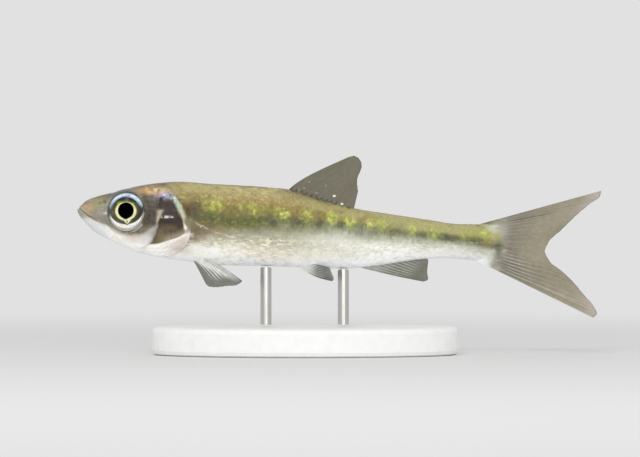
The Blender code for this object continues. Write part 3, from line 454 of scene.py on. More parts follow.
def headMarkings(point):
    # colour of the head: by height from the white throat to the crown, then patches, gill cover and dark lines
    x, z = point[..., 0], point[..., 2]
    crown, cheekLow = through(head["crownLine"], x), through(head["cheekLow"], x)
    share = (z - cheekLow) / (crown - cheekLow) + (cloud(point, 0.8, 4.9) - 0.5) * 0.05
    streaks = grains(point * np.array([0.5, 1.0, 1.5]), 0.45, 5.9, 0.45, 0.75)
    fine = grains(point * np.array([0.4, 1.0, 1.6]), 0.2, 6.6, 0.45, 0.7)
    onCheek = smooth(0.0, 0.12, share)
    behindEye = smooth(8.8, 9.9, x) * smooth(12.3, 11.8, x) * smooth(7.3, 6.6, z) * smooth(1.5, 3.0, z)
    nape = blob(x, z, 11.1, 7.5, 2.3, 0.7)
    colour = painted(ramp(share, ramps["head"]), [
        ("cheekDarkAndShade", (streaks * 0.42 + fine * 0.34) * smooth(0.02, 0.25, share)),
        ("plateDark", grains(point, 0.26, 105.0, 0.62, 0.75) * blob(x, z, 4.0, 4.4, 2.6, 1.9) * onCheek * 0.4),
        ("plateRim", fine * streaks * smooth(0.4, 0.1, share) * smooth(0.0, 0.1, share) * 0.3),
        ("cheekDarkAndShade", blob(x, z, 8.2, 1.55, 2.2, 0.35) * smooth(-0.02, 0.06, share) * 0.55),
        ("jaw", smooth(5.2, 3.4, x) * smooth(0.02, -0.1, share) * 0.9),
        ("crownBlue", blob(x, z, 6.2, 7.3, 2.6, 0.55) * 0.85),
        ("snout", blob(x, z, 1.8, 5.1, 1.2, 0.75) * (0.5 + 0.6 * cloud(point, 0.4, 36.0))),
        *patched(point, "nose"),
        ("nosePatch", blob(x, z, 3.3, 5.85, 1.1, 0.8) * (0.6 + 0.6 * cloud(point, 0.35, 38.0))),
        *patched(point, "cheek", onCheek),
        *patched(point, "throat"),
        ("cheekDarkAndShade", behindEye * (0.78 + 0.5 * (cloud(point, 0.4, 33.0) - 0.5))),
        ("nape", nape * (0.5 + 0.7 * grains(point, 0.6, 25.0, 0.35, 0.65))),
        ("napeDark", nape * grains(point, 0.4, 52.0, 0.6, 0.8) * 0.4),
        ("napeCream", blob(x, z, 11.2, 7.5, 1.5, 0.4) * grains(point, 0.45, 55.0, 0.3, 0.6) * 0.8),
        ("cheekGrey", blob(x, z, 10.8, 1.5, 1.25, 1.1) * smooth(0.1, -0.02, share) * 0.95),
        *patched(point, "jaw")])

    # gill cover: a dark plate, its pale rim and the pale bones below, with painted shade behind the opening's upper
    # edge and under the plate's edge
    front, rear = through(head["plateFront"], z), through(head["plateRear"], z)
    bottom = through(head["plateBottom"], x)
    rough = (cloud(point, 0.45, 8.8) - 0.5) * 0.3
    upTo = smooth(7.1, 6.5, z + rough)
    plate = (smooth(-0.06 - 0.2 * smooth(3, 1.5, z), 0.1, x - front + rough * 0.4)
             * smooth(-0.08, 0.12, rear - x + rough) * smooth(-0.05, 0.1, z - bottom) * upTo)
    brownTo = z + (cloud(point * np.array([0.6, 1.0, 1.0]), 0.8, 46.0) - 0.5) * 1.2
    upright = grains(point * np.array([1.5, 1.0, 0.5]), 0.4, 107.0, 0.5, 0.75)
    rim = smooth(-0.05, 0.12, x - rear - rough) * upTo * smooth(-1.0, 0.2, z)
    high = smooth(3.0, 4.0, z)
    line = bell(x - rear - 0.14 - 0.2 * high - rough * 0.5, 0.11 + 0.12 * high) * upTo * smooth(-0.8, 0.4, z)
    fromOpening = lineField(head["gillOpening"], x, z)[0]
    under = smooth(0.0, 0.25, bottom - z) * smooth(8.5, 9.5, x)
    bones = smooth(0.2, 0.9, np.sin((z - 0.45 * x) * 13 + 5 * cloud(point, 0.8, 18.0)))
    wedge = bell(x - 11.5 - 0.3 * (z - 2.9), np.clip(0.12 + 0.16 * (z - 2.9), 0.12, 0.4))
    glints = np.maximum(blob(x, z, 12.8, 3.72, 0.6, 0.12) * grains(point, 0.25, 24.0, 0.3, 0.5),
                        blob(x, z, 13.7, 3.72, 0.15, 0.08))
    onRim = smooth(-0.3, 0.0, x - rear) * smooth(0.95, 0.5, x - rear) * bell(z - 5.5, 1.0)
    colour = painted(colour, [
        ("plateDark", plate * 0.97),
        ("cheek", plate * grains(point * np.array([0.8, 1.0, 1.2]), 0.7, 42.0, 0.5, 0.75) * 0.14),
        ("plateBrown", plate * smooth(3.0, 0.6, brownTo) * 0.95),
        ("plateDark", plate * blob(x, z, 14.9, 2.3, 0.7, 0.9) * 0.6),
        ("plateDark", plate * upright * smooth(3.2, 1.8, z) * 0.4),
        ("cheekDarkAndShade", plate * blob(x, z, 10.9, 0.7, 0.55, 0.9) * 0.6),
        ("plateRim", plate * smooth(1.2, 0.0, z - bottom) * smooth(11.6, 13.2, x) * 0.55),
        ("cheekDarkAndShade", bell(x - front + 0.25, 0.28) * smooth(2.8, 1.6, z) * smooth(-0.8, -0.2, z) * 0.4),
        ("rimOlive", rim * (0.7 + 0.3 * cloud(point, 0.4, 27.0))),
        ("plateRim", line * 0.9), ("stalkSilver", line * high * 0.7),
        ("plateEdge", line * smooth(3.2, 2.2, z) * grains(point, 0.35, 28.0, 0.3, 0.6) * 0.7),
        # painted shade just behind the gill opening's upper edge
        ("shoulderDarkAndShade", rim * smooth(0.5, 0.15, fromOpening) * smooth(3.5, 4.5, z) * 0.6),
        ("throat", under * 0.95),
        ("boneGrey", under * blob(x, z, 15.4, -1.3, 1.2, 0.7) * 0.85),
        ("white", under * bell(x - 11.5, 2.0) * 0.7),
        # the bones table: a painted shadow under the plate's lower edge, then bone grey
        *patched(point, "bones", under),
        ("pink", under * bones * smooth(10.5, 13.5, x) * 0.55),
        # the ridge table: painted shade beside a cream ridge
        *patched(point, "ridge", under),
        ("plateRim", blob(x, z, 15.25, 4.2, 0.3, 0.6) * 0.6),
        ("plateEdge", bell(z - bottom + 0.12, 0.13) * smooth(9.5, 10.5, x) * smooth(16.0, 15.4, x) * 0.8),
        ("plateEdge", blob(x, z, 15.6, 2.2, 0.22, 0.25) * 0.9),
        ("plateRim", wedge * smooth(2.3, 3.4, z) * smooth(5.0, 4.5, z)),
        ("white", glints),
        *patched(point, "gleam"),
        ("sheenGreen", onRim * grains(point, 0.32, 21.3, 0.3, 0.6) * 0.65),
        ("limeBright", onRim * grains(point, 0.18, 109.0, 0.62, 0.8) * 0.35),
        ("white", onRim * grains(point, 0.2, 111.0, 0.62, 0.8) * 0.5),
        ("rimOlive", onRim * grains(point, 0.2, 113.0, 0.6, 0.78) * 0.45),
        *patched(point, "glitter")])

    # thin creases round the eye, then painted shade in the nostrils, and the mouth
    eyeX, eyeZ = head["eye"]
    fromEye, lidAngle = np.hypot(x - eyeX, z - eyeZ), np.arctan2(z - eyeZ, x - eyeX)
    crease = (bell(fromEye - 2.78, 0.05) + bell(fromEye - 2.98, 0.04)) * smooth(0.75, 0.45, np.abs(lidAngle + 0.75))
    off, side, share = lineField(head["mouth"], x, z)
    return painted(colour, [
        ("lavender", crease * grains(point, 0.6, 26.0, 0.3, 0.5) * 0.8),
        ("lavender", blob(x, z, 4.1, 4.25, 0.3, 0.14) * 0.8),
        # painted shade in the nostrils' pits
        *(("cheekDarkAndShade", smooth(radius * 2.4, 0, np.hypot(x - px, z - pz)) * 0.5)
          for px, pz, radius, deep in head["nostrils"]),
        ("plateRim", bell(off - 0.2, 0.13) * smooth(1, 0.8, share) * 0.7),
        ("cheekDarkAndShade", bell(off, 0.07) * smooth(1, 0.85, share) * 0.5)])


def markings(point):
    # the head's colours ahead of the gill opening, the body's behind it, with a narrow ragged change between them
    x, z = point[..., 0], point[..., 2]
    off, side, share = lineField(head["gillOpening"], x, z)
    over = smooth(6.6, 7.8, z)
    edge = off * (2 * aheadOf(head["gillOpening"], side) - 1) * (1 - over) + (13.4 - x) * over
    onHead = smooth(-0.15 - 1.5 * over, 0.1 + 1.1 * over, edge + (cloud(point, 0.5, 2.2) - 0.5) * 1.6 * over)
    return mixed(bodyMarkings(point), headMarkings(point), np.where(x < 9, 1.0, onHead))


def addMesh(name, points, faces, colour=None, numbers=None, uv=None):
    # a mesh object whose place is in its mesh; colour and numbers are kept for each point, uv for each corner
    mesh = bpy.data.meshes.new(name)
    mesh.from_pydata(toFrame(points).tolist(), [], faces)
    if colour is not None:
        layer = mesh.color_attributes.new(name="markings", type="FLOAT_COLOR", domain="POINT")
        layer.data.foreach_set("color", np.c_[colour, np.ones(len(colour))].astype(np.float32).ravel())
    for key, values in (numbers or {}).items():
        layer = mesh.attributes.new(name=key, type="FLOAT", domain="POINT")
        layer.data.foreach_set("value", np.asarray(values, np.float32))
    if uv is not None:
        mesh.uv_layers.new(name="OFBake").data.foreach_set("uv", uv.astype(np.float32).ravel())
    piece = bpy.data.objects.new(name, mesh)
    bpy.context.scene.collection.objects.link(piece)
    mesh.shade_smooth()
    return piece


def gridFaces(rows, columns, wrap=False):
    # four corners of each cell of a grid of points, row by row
    i, j = np.meshgrid(np.arange(rows - 1), np.arange(columns if wrap else columns - 1), indexing="ij")
    k = (j + 1) % columns
    corners = [i * columns + j, i * columns + k, (i + 1) * columns + k, (i + 1) * columns + j]
    return np.stack(corners, axis=-1).reshape(-1, 4)


def fan(tip, start, columns, turned=False):
    # triangles from a tip to the ring of points that begins at a number
    j = start + np.arange(columns)
    k = np.roll(j, -1)
    return np.stack([np.full(columns, tip), j if turned else k, k if turned else j], axis=-1)


def sheetFaces(rows, columns):
    # both faces of a grid sheet, the second one's points after the first one's, closed round the rim
    cells = gridFaces(rows, columns)
    size = rows * columns
    ring = np.concatenate([np.arange(columns), np.arange(1, rows) * columns + columns - 1,
                           (rows - 1) * columns + np.arange(columns - 2, -1, -1),
                           np.arange(rows - 2, 0, -1) * columns])
    after = np.roll(ring, -1)
    return np.concatenate([cells, cells[:, ::-1] + size, np.stack([ring, ring + size, after + size, after], axis=-1)])


def setInputs(tree, node, inputs):
    # links each input that is given a socket, and sets the others
    for key, value in inputs.items():
        if isinstance(value, bpy.types.NodeSocket):
            tree.links.new(value, node.inputs[key])
        else:
            node.inputs[key].default_value = value


def addNode(tree, kind, inputs, output=0, **values):
    # one shader node with its settings and its inputs set or linked; gives the output asked for
    node = tree.nodes.new("ShaderNode" + kind)
    for key, value in values.items():
        setattr(node, key, value)
    setInputs(tree, node, inputs)
    return node.outputs[output]


def kept(tree, name, output="Fac"):
    # a colour or number kept with each point
    return addNode(tree, "Attribute", {}, output, attribute_name=name)


def noise(tree, place, size, detail, **inputs):
    # noise of a size in millimetres
    scaled = {"Vector": place, "Scale": 1 / (size * millimetre), "Detail": detail, **inputs}
    return addNode(tree, "TexNoise", scaled, "Fac")


def spread(tree, value, low, high, toLow, toHigh, **values):
    # a range of values stretched over another one
    return addNode(tree, "MapRange", {"Value": value, "From Min": low, "From Max": high, "To Min": toLow,
                                      "To Max": toHigh}, "Result", **values)


def sums(tree, operation, *numbers, **values):
    # one step of arithmetic on shares
    return addNode(tree, "Math", dict(enumerate(numbers)), operation=operation, **values)


def blend(tree, weight, first, second, kind="MIX"):
    # one colour or shade laid over another by the weight
    return addNode(tree, "Mix", {0: weight, 6: first, 7: second}, 2, data_type="RGBA", blend_type=kind)


def bump(tree, height, strength, depth):
    # dents that follow a height, as deep as some millimetres
    return addNode(tree, "Bump", {"Height": height, "Strength": strength, "Distance": depth * millimetre}, "Normal")


def newMaterial(name):
    # a node material, its tree and main shader, and the place in the object
    material = bpy.data.materials.new(name)
    material.use_nodes = True
    tree = material.node_tree
    return material, tree, tree.nodes["Principled BSDF"], addNode(tree, "TexCoord", {}, "Object")


def flat(hexColour):
    # an sRGB hex as a socket's colour
    return (*linear(hexColour), 1)


skinLook = {"freckle": 0.16, "freckleBack": 0.1, "freckleSilver": 0.05, "grain": 0.07, "roughness": (0.32, 0.5),
            "metallic": 0.1, "coat": 0.16, "edge": 0.87, "specular": 0.35, "lean": 18,    # mm; degrees
            "dash": 1.1, "wander": 0.5, "line": "#e9e0c8", "skinBump": 0.02, "scaleBump": 0.015}
# grains: the share's attribute, size in mm, how it is squeezed along x, y and z, limits, colour and strength
skinGrains = [("rust", 0.6, (1.0, 1.0, 0.8), (0.48, 0.64), "#7d5a34", 0.6),
              ("teeth", 0.95, (1.3, 1.0, 0.5), (0.44, 0.62), "#767a60", 0.6),
              ("inBand", 0.75, (1.0, 1.0, 0.8), (0.48, 0.66), "#3f4428", 0.5),
              ("inBand", 0.5, (0.7, 1.0, 1.2), (0.5, 0.66), "#8f9248", 0.45),
              ("bright", 0.5, (1.1, 1.0, 0.8), (0.44, 0.64), "#dde184", 0.72),
              ("dots", 0.28, (0.8, 1.0, 1.0), (0.56, 0.7), "#dccd96", 0.6),
              ("fleck", 0.9, (0.7, 1.0, 1.2), (0.48, 0.64), "#b3a88c", 0.45),
              ("fleck", 0.42, (0.45, 1.0, 1.5), (0.48, 0.62), "#fdfbf0", 0.85)]


def skinMaterial(name, bumpDepth):
    # mucus-coated fish skin: pigment cells as fine freckles, silver plates below that turn the light back
    material, tree, shader, place = newMaterial(name)
    pigment, silver = kept(tree, "markings", "Color"), kept(tree, "silvering")
    for key, size, squeeze, (low, high), tint, strength in skinGrains:
        squeezed = addNode(tree, "Mapping", {"Vector": place, "Rotation": (0, math.radians(skinLook["lean"]), 0),
                                             "Scale": squeeze})
        spot = spread(tree, noise(tree, squeezed, size, 2.0), low, high, 0.0, strength, interpolation_type="SMOOTHSTEP")
        weight = sums(tree, "MULTIPLY", spot, kept(tree, key), use_clamp=True)
        pigment = blend(tree, weight, pigment, flat(tint))
    # the lateral line: pored scales as a chain of short pale dashes, a little above and below the line by turns
    strayed = sums(tree, "MULTIPLY_ADD", noise(tree, place, skinLook["wander"], 1.0), 0.9, kept(tree, "lineOff"))
    away = sums(tree, "ABSOLUTE", sums(tree, "SUBTRACT", strayed, 0.45))
    dash = spread(tree, noise(tree, place, skinLook["dash"], 1.0), 0.42, 0.56, 0.0, 1.0)
    dashed = sums(tree, "MULTIPLY", spread(tree, away, 0.05, 0.14, 0.8, 0.0), dash)
    pigment = blend(tree, sums(tree, "MULTIPLY", dashed, kept(tree, "lineShow")), pigment, flat(skinLook["line"]))
    freckles = noise(tree, place, skinLook["freckle"] * 2.2, 2.0, Roughness=0.6)
    depth = spread(tree, silver, 0.0, 1.0, skinLook["freckleBack"], skinLook["freckleSilver"])
    spots = sums(tree, "MULTIPLY_ADD", spread(tree, freckles, 0.34, 0.66, -1.0, 1.0), depth, 1.0)
    edgeTone = spread(tree, kept(tree, "scaleEdge"), 0.0, 1.0, 1.0, skinLook["edge"])
    tone = blend(tree, 1.0, pigment, sums(tree, "MULTIPLY", spots, edgeTone), "MULTIPLY")
    setInputs(tree, shader, {
        "Base Color": tone, "Roughness": spread(tree, freckles, 0.0, 1.0, *skinLook["roughness"]),
        "Metallic": sums(tree, "MULTIPLY", silver, skinLook["metallic"]), "IOR": 1.4,
        "Normal": bump(tree, noise(tree, place, skinLook["grain"] * 2, 1.0), 0.2, bumpDepth),
        "Specular IOR Level": skinLook["specular"], "Coat Weight": skinLook["coat"], "Coat Roughness": 0.12,
        "Coat IOR": 1.36})
    return material


skinGrid = {"noseRows": 14, "headRows": 190, "bodyRows": 130, "endRows": 14, "around": 264, "headTo": 17.5}


def makeSkin():
    # the body's superellipse on a grid of length and angle, moved outwards by the relief; ends closed to points
    noseEnd, stalkEnd, columns = body["noseLength"], body["stalkEnd"], skinGrid["around"]
    lengths = np.concatenate([
        noseEnd * (1 - np.cos(np.linspace(0.03, 1, skinGrid["noseRows"]) * math.pi / 2)),
        np.linspace(noseEnd, skinGrid["headTo"], skinGrid["headRows"])[1:],
        np.linspace(skinGrid["headTo"], stalkEnd, skinGrid["bodyRows"])[1:],
        stalkEnd + body["stalkRound"] * np.sin(np.linspace(0, 0.97, skinGrid["endRows"])[1:] * math.pi / 2)])
    rows = len(lengths)
    x, angle = np.meshgrid(lengths, -math.pi / 2 + np.arange(columns) * 2 * math.pi / columns, indexing="ij")
    bare = bareSkin(x, angle)
    points = bare + outwards(x, angle) * relief(bare)[..., None]
    tips = np.array([[-0.02, 0, body["noseHeight"]], [tailTip, 0, 0]])
    points, bare = (np.concatenate([grid.reshape(-1, 3), tips]) for grid in (points, bare))
    faces = [gridFaces(rows, columns, wrap=True), fan(rows * columns, 0, columns),
             fan(rows * columns + 1, (rows - 1) * columns, columns, turned=True)]
    u = np.linspace(0.01, 0.99, rows)
    i, j = np.meshgrid(np.arange(rows - 1), np.arange(columns), indexing="ij")
    uv = [np.stack([np.stack([u[i + down], (j + over) / columns], -1)
                    for down, over in ((0, 0), (0, 1), (1, 1), (1, 0))], axis=2)]
    for cap in (((0, 0.5), (u[0], 1), (u[0], 0)), ((1, 0.5), (u[-1], 0), (u[-1], 1))):
        uv.append(np.stack([np.stack([np.full(columns, at), (j[0] + over) / columns], -1) for at, over in cap], axis=1))
    skin = addMesh("skin", points, sum((part.tolist() for part in faces), []), markings(bare), fineShares(bare),
                   np.concatenate([part.reshape(-1, 2) for part in uv]))
    skin.data.materials.append(skinMaterial("wetFishSkin", skinLook["skinBump"]))
    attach(skin, "root")
    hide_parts("head", "lower_jaw", "gill_cover_left", "gill_cover_right", "trunk", "tail_stalk")
    return lengths, u


scaleCoat = {
    "from": 12.6, "to": 59.5, "long": 1.0, "wide": 0.98, "overlap": 1.95, "aft": 0.8,    # pitch, mm, and its share aft
    "alongAt": (0, 0.35, 0.65, 0.9, 0.98, 1), "acrossAt": (-1, -0.95, -0.5, 0, 0.5, 0.95, 1),    # shares of a scale
    "thick": 0.012, "rootDeep": -0.014, "edgeHigh": 0.024, "crown": 0.003, "rowsEachSide": 16, "patch": 0.0015,
    # how far single scales stray: along and around in mm, their size, lift and tone
    "strayAlong": 0.025, "strayAround": 0.012, "straySize": 0.03, "strayLift": 0.003, "strayTone": 0.02,
    "rowsTogether": 1.05, "reachAcross": 0.62,                                             # shares of the width
    "middle": [(11, 2.2), (16, 2.0), (22, 1.5), (30, 1.0), (40, 0.5), (60.6, 0.0)],      # the rows' middle, by length
    "firstAt": [(-4, 14.6), (-2.2, 15.6), (-0.6, 16.4), (1, 17.1), (2.6, 17.2), (4.4, 16.7), (6, 15.8), (7, 14.9),
                (7.8, 13.6), (8.8, 12.9)],                                                # behind the gill, by height
}


def arcTable(lengths, count=240):
    # for each length: angle as a function of the share of the way round, from the belly on one side
    turns = np.linspace(-math.pi / 2, math.pi / 2, count)
    x, angle = np.meshgrid(lengths, turns, indexing="ij")
    ring = bareSkin(x, angle)
    steps = np.linalg.norm(np.diff(ring, axis=1), axis=-1)
    reach = np.concatenate([np.zeros((len(lengths), 1)), np.cumsum(steps, axis=1)], axis=1)
    return turns, reach, ring[..., 2]


def arcAngles(x, arc, lengths, reach, turns, count=300):
    # the angle at an arc length: both neighbouring rows of the table read on an even grid, then blended
    table = np.array([np.interp(np.linspace(0, 1, count) * row[-1], row, turns) for row in reach])
    at = np.clip((x - lengths[0]) / (lengths[1] - lengths[0]), 0, len(lengths) - 1.001)
    i = at.astype(int)
    f = at - i
    s = np.clip(arc / np.interp(x, lengths, reach[:, -1]), 0, 1) * (count - 1.001)
    j = s.astype(int)
    g = s - j
    return ((table[i, j] * (1 - g) + table[i, j + 1] * g) * (1 - f)
            + (table[i + 1, j] * (1 - g) + table[i + 1, j + 1] * g) * f)


def makeScales(side, name, skinLengths, skinU):
    # plates on a brick lattice: rows keep their distance from the side's middle, measured along the skin
    seed = np.random.default_rng(11 if side > 0 else 12)
    lengths = np.linspace(scaleCoat["from"] - 1.5, tailTip - 0.05, 400)
    turns, reach, height = arcTable(lengths)
    total = reach[:, -1]
    middleZ = through(scaleCoat["middle"], lengths)
    middle = np.array([np.interp(z, row, arc) for z, row, arc in zip(middleZ, height, reach)])
    pitchAt = 1 - (1 - scaleCoat["aft"]) * smooth(30, 56, lengths)
    columnOf = np.concatenate([[0], np.cumsum(np.diff(lengths) / (scaleCoat["long"] * pitchAt[:-1]))])
    rowNumbers = np.arange(-scaleCoat["rowsEachSide"], scaleCoat["rowsEachSide"] + 1)
    col, row = np.meshgrid(np.arange(1, int(columnOf[-1])), rowNumbers, indexing="ij")
    x = np.interp(col + 0.5 * (row % 2), columnOf, lengths) + seed.normal(0, scaleCoat["strayAlong"], col.shape)
    pitch = np.interp(x, lengths, pitchAt)
    arc = (np.interp(x, lengths, middle) + row * scaleCoat["wide"] * 0.5 * pitch * scaleCoat["rowsTogether"]
           + seed.normal(0, scaleCoat["strayAround"], col.shape))
    top = np.interp(x, lengths, total)
    keep = (arc > 0.1) & (arc < top - 0.02) & (x > scaleCoat["from"] - 1) & (x < scaleCoat["to"])
    x, arc, pitch = x[keep], arc[keep], pitch[keep]
    # bare head and gill opening: only scales well behind the opening's edge stay
    nearest = np.clip(np.searchsorted(lengths, x), 0, len(lengths) - 1)
    centre = bareSkin(x, np.array([np.interp(a, reach[i], turns) for a, i in zip(arc, nearest)]))
    keep = x > through(scaleCoat["firstAt"], centre[:, 2])
    x, arc, pitch = x[keep], arc[keep], pitch[keep]
    count = len(x)
    down, over = np.meshgrid(scaleCoat["alongAt"], scaleCoat["acrossAt"], indexing="ij")    # close together at the rim
    outline = np.sqrt(np.clip(1 - (np.abs(down - 0.42) / 0.6) ** 2.4, 0.02, 1))
    alongShift = (down - 0.5) + 0.05 * (1 - over**2) * down
    sizes = 1 + seed.normal(0, scaleCoat["straySize"], count)
    px = x[:, None, None] + alongShift * (scaleCoat["overlap"] * scaleCoat["long"] * pitch * sizes)[:, None, None]
    px = np.clip(px, 1.5, tailTip - 0.02)
    shift = over * outline * (scaleCoat["wide"] * scaleCoat["reachAcross"] * pitch * sizes)[:, None, None]
    fromMiddle = (arc - np.interp(x, lengths, middle))[:, None, None]
    pArc = np.clip(np.interp(px, lengths, middle) + fromMiddle + shift, 0.0, np.interp(px, lengths, total))
    angle = arcAngles(px, pArc, lengths, reach, turns)
    bare = bareSkin(px, angle)
    normal = outwards(px, angle)
    lift = (scaleCoat["rootDeep"] + (scaleCoat["edgeHigh"] - scaleCoat["rootDeep"]) * down
            + scaleCoat["crown"] * (1 - over**2) + relief(bare)
            + seed.normal(0, scaleCoat["strayLift"], count)[:, None, None])
    mirror = np.array([1, side, 1])
    points = np.stack([bare + normal * lift[..., None],
                       bare + normal * (lift - scaleCoat["thick"])[..., None]], axis=1) * mirror
    # the sheet's cells turn from across to along, which faces outwards on the fish's right
    one, size = sheetFaces(*down.shape)[:, ::side], down.size
    faces = (one[None] + (np.arange(count) * size * 2)[:, None, None]).reshape(-1, 4)
    twice = np.stack([bare, bare], axis=1).reshape(-1, 3)
    shares = fineShares(twice)
    tone = np.repeat(1 + seed.normal(0, scaleCoat["strayTone"], count), size * 2)[:, None]
    edge = np.tile(smooth(0.75, 1.0, down).ravel(), count * 2) * (1.1 - shares["silvering"])
    turn = (angle[:, down.shape[0] // 2, down.shape[1] // 2] + math.pi / 2) / (2 * math.pi)
    patch = np.stack([np.interp(x, skinLengths, skinU)[:, None] + scaleCoat["patch"] * (down.ravel() * 2 - 1),
                      (turn if side > 0 else 1 - turn)[:, None] + scaleCoat["patch"] * over.ravel()], axis=-1)
    uv = np.stack([patch, patch], axis=1).reshape(-1, 2)[faces.ravel()]
    coat = addMesh(name, points.reshape(-1, 3), faces.tolist(), np.clip(markings(twice * mirror) * tone, 0, 1),
                   {**shares, "scaleEdge": edge}, uv)
    coat.data.materials.append(skinMaterial("wetScales", skinLook["scaleBump"]))
    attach(coat, "root")
    print(name, count, "scales,", len(faces) * 2, "triangles")


eye = {"centre": (7.17, 4.46), "inset": 1.92, "radii": (2.75, 2.93), "depth": 1.25, "turn": math.radians(6),
       "pupilAt": (0.04, 0.2), "pupil": 1.16, "ringAt": (0.02, 0.09), "ring": 1.55, "ringFlat": 0.88, "rows": 60,
       "around": 96, "bulge": 0.05, "pupilStep": 0.03, "backDeep": 0.6, "fibres": 0.12,
       # the ring's pointed foot, two strands
       "foot": ([(-0.15, -1.2), (0.0, -1.4), (0.2, -1.62)], [(0.5, -1.2), (0.42, -1.45), (0.22, -1.62)])}
eyeColours = {name: linear(value) for name, value in {
    "pupil": "#010102", "navy": "#242b36", "cream": "#ece9ca", "lime": "#b4ba34", "iris": "#66635a",
    "irisDark": "#34342e", "sky": "#a3bbd4", "halo": "#5a5e1e", "white": "#f0eef0", "lowerRimShade": "#8b877b",
    "silver": "#fbf8ee", "rimShade": "#33343a", "teal": "#8fc4b4"}.items()}


def eyeMarkings(across, up):
    # rings of colour round the pupil: iris, blue upper and silver lower crescent, the pale ring with its foot; painted
    # shade at the eye's rim and under its lower rim
    none = np.zeros_like(up)
    out, swirl = np.hypot(across, up), np.arctan2(up, across)
    sine, cosine = np.sin(swirl), np.cos(swirl)
    speck, grain = np.stack([across, up, none], -1), np.stack([out * 2.2, swirl * 0.7, none], -1)
    upper = smooth(0.3, 0.75, np.sin(swirl + 0.1)) + 0.6 * smooth(0.0, 0.5, sine) * smooth(0.5, 0.9, -cosine)
    crescent = smooth(2.04, 2.2, out) * smooth(2.74, 2.6, out) * upper
    strands = smooth(0.3, 0.6, 0.5 * cloud(grain, 0.24, 2.7) + 0.5 * cloud(speck, 0.16, 4.2))
    lower = smooth(0.1, -0.3, np.sin(swirl - 0.15))
    bands = 0.4 + 0.6 * grains(grain, 0.3, 9.1, 0.35, 0.6)
    low, outer = smooth(2.12, 2.26, np.hypot(across / 1.14, up - 0.4)) * lower, smooth(2.32, 2.5, out)
    folds = smooth(-0.1, 0.6, np.sin((out + 0.12 * cloud(grain, 0.9, 6.3)) * 2 * math.pi / 0.17))
    ringOut = np.hypot(across - eye["ringAt"][0], (up - eye["ringAt"][1]) / eye["ringFlat"])
    ring = smooth(eye["ring"] + 0.06, eye["ring"] - 0.05, ringOut)
    creamy = 0.55 + 0.45 * grains(np.stack([ringOut * 3.2, swirl * 0.8, none], -1), 0.3, 1.7, 0.3, 0.6)
    px, py = across - eye["pupilAt"][0], up - eye["pupilAt"][1]
    pupil = eye["pupil"] * (1 + 0.1 * bell(np.arctan2(py, px) + math.pi / 2, 0.3))
    inPupil = smooth(pupil + 0.03, pupil - 0.03, np.hypot(px, py))
    colour = painted(np.broadcast_to(eyeColours["iris"], speck.shape), [
        ("irisDark", grains(speck, 0.35, 3.3, 0.4, 0.75) * 0.5),
        ("irisDark", smooth(1.95, 1.65, out) * (0.45 + 0.35 * smooth(0.0, 0.8, sine))),
        ("irisDark", smooth(0.2, 0.9, cosine) * smooth(2.6, 2.3, out) * 0.9),
        ("navy", smooth(1.45, 1.6, out) * smooth(2.24, 2.08, out) * smooth(0.2, 0.7, sine) * 0.95),
        ("sky", crescent * (0.55 + 0.6 * grains(grain, 0.32, 7.7, 0.3, 0.7))),
        ("white", bell(out - 2.44, 0.13) * smooth(0.15, 0.6, sine) * strands),
        ("teal", blob(across, up, 1.9, 1.5, 0.35, 0.35) * grains(speck, 0.2, 5.1, 0.35, 0.6) * 0.8),
        ("silver", low * (0.75 + 0.25 * bands) * (1 - outer)),
        # painted shade under the lower rim, beyond the silver crescent
        ("lowerRimShade", low * outer * 0.85),
        ("silver", low * outer * folds * smooth(2.82, 2.66, out) * (0.45 + 0.5 * bands)),
        # painted shade: a thin dark rim round the eye's edge where it meets the socket, faint below
        ("rimShade", smooth(2.55, 2.68, out) * (1 - 0.8 * lower) * 0.25),
        # the ring round the pupil: cream strands inside, lime outside, olive over it and a notch below
        ("halo", bell(ringOut - eye["ring"] - 0.12, 0.17) * (0.5 + 0.45 * sine)),
        ("lime", blob(across, up, -0.9, 1.2, 0.35, 0.25) * 0.55),
        ("lime", blob(across, up, 0.95, 1.1, 0.25, 0.2) * 0.55),
        ("lime", ring),
        ("cream", ring * smooth(eye["ring"] + 0.04, eye["ring"] - 0.2, ringOut) * creamy),
        *(("cream", smooth(0.13, 0.05, lineField(line, across, up)[0])) for line in eye["foot"]),
        ("irisDark", blob(across, up, 0.25, -1.42, 0.09, 0.1) * 0.8),
        ("cream", blob(across, up, 0.5, -1.24, 0.2, 0.13)),
        ("pupil", blob(across, up, 0.2, -1.8, 0.17, 0.13) * 0.95),
        ("sky", blob(across, up, 0.68, -1.92, 0.35, 0.12) * 0.5),
        ("pupil", inPupil)], eyeColours)
    return colour, inPupil


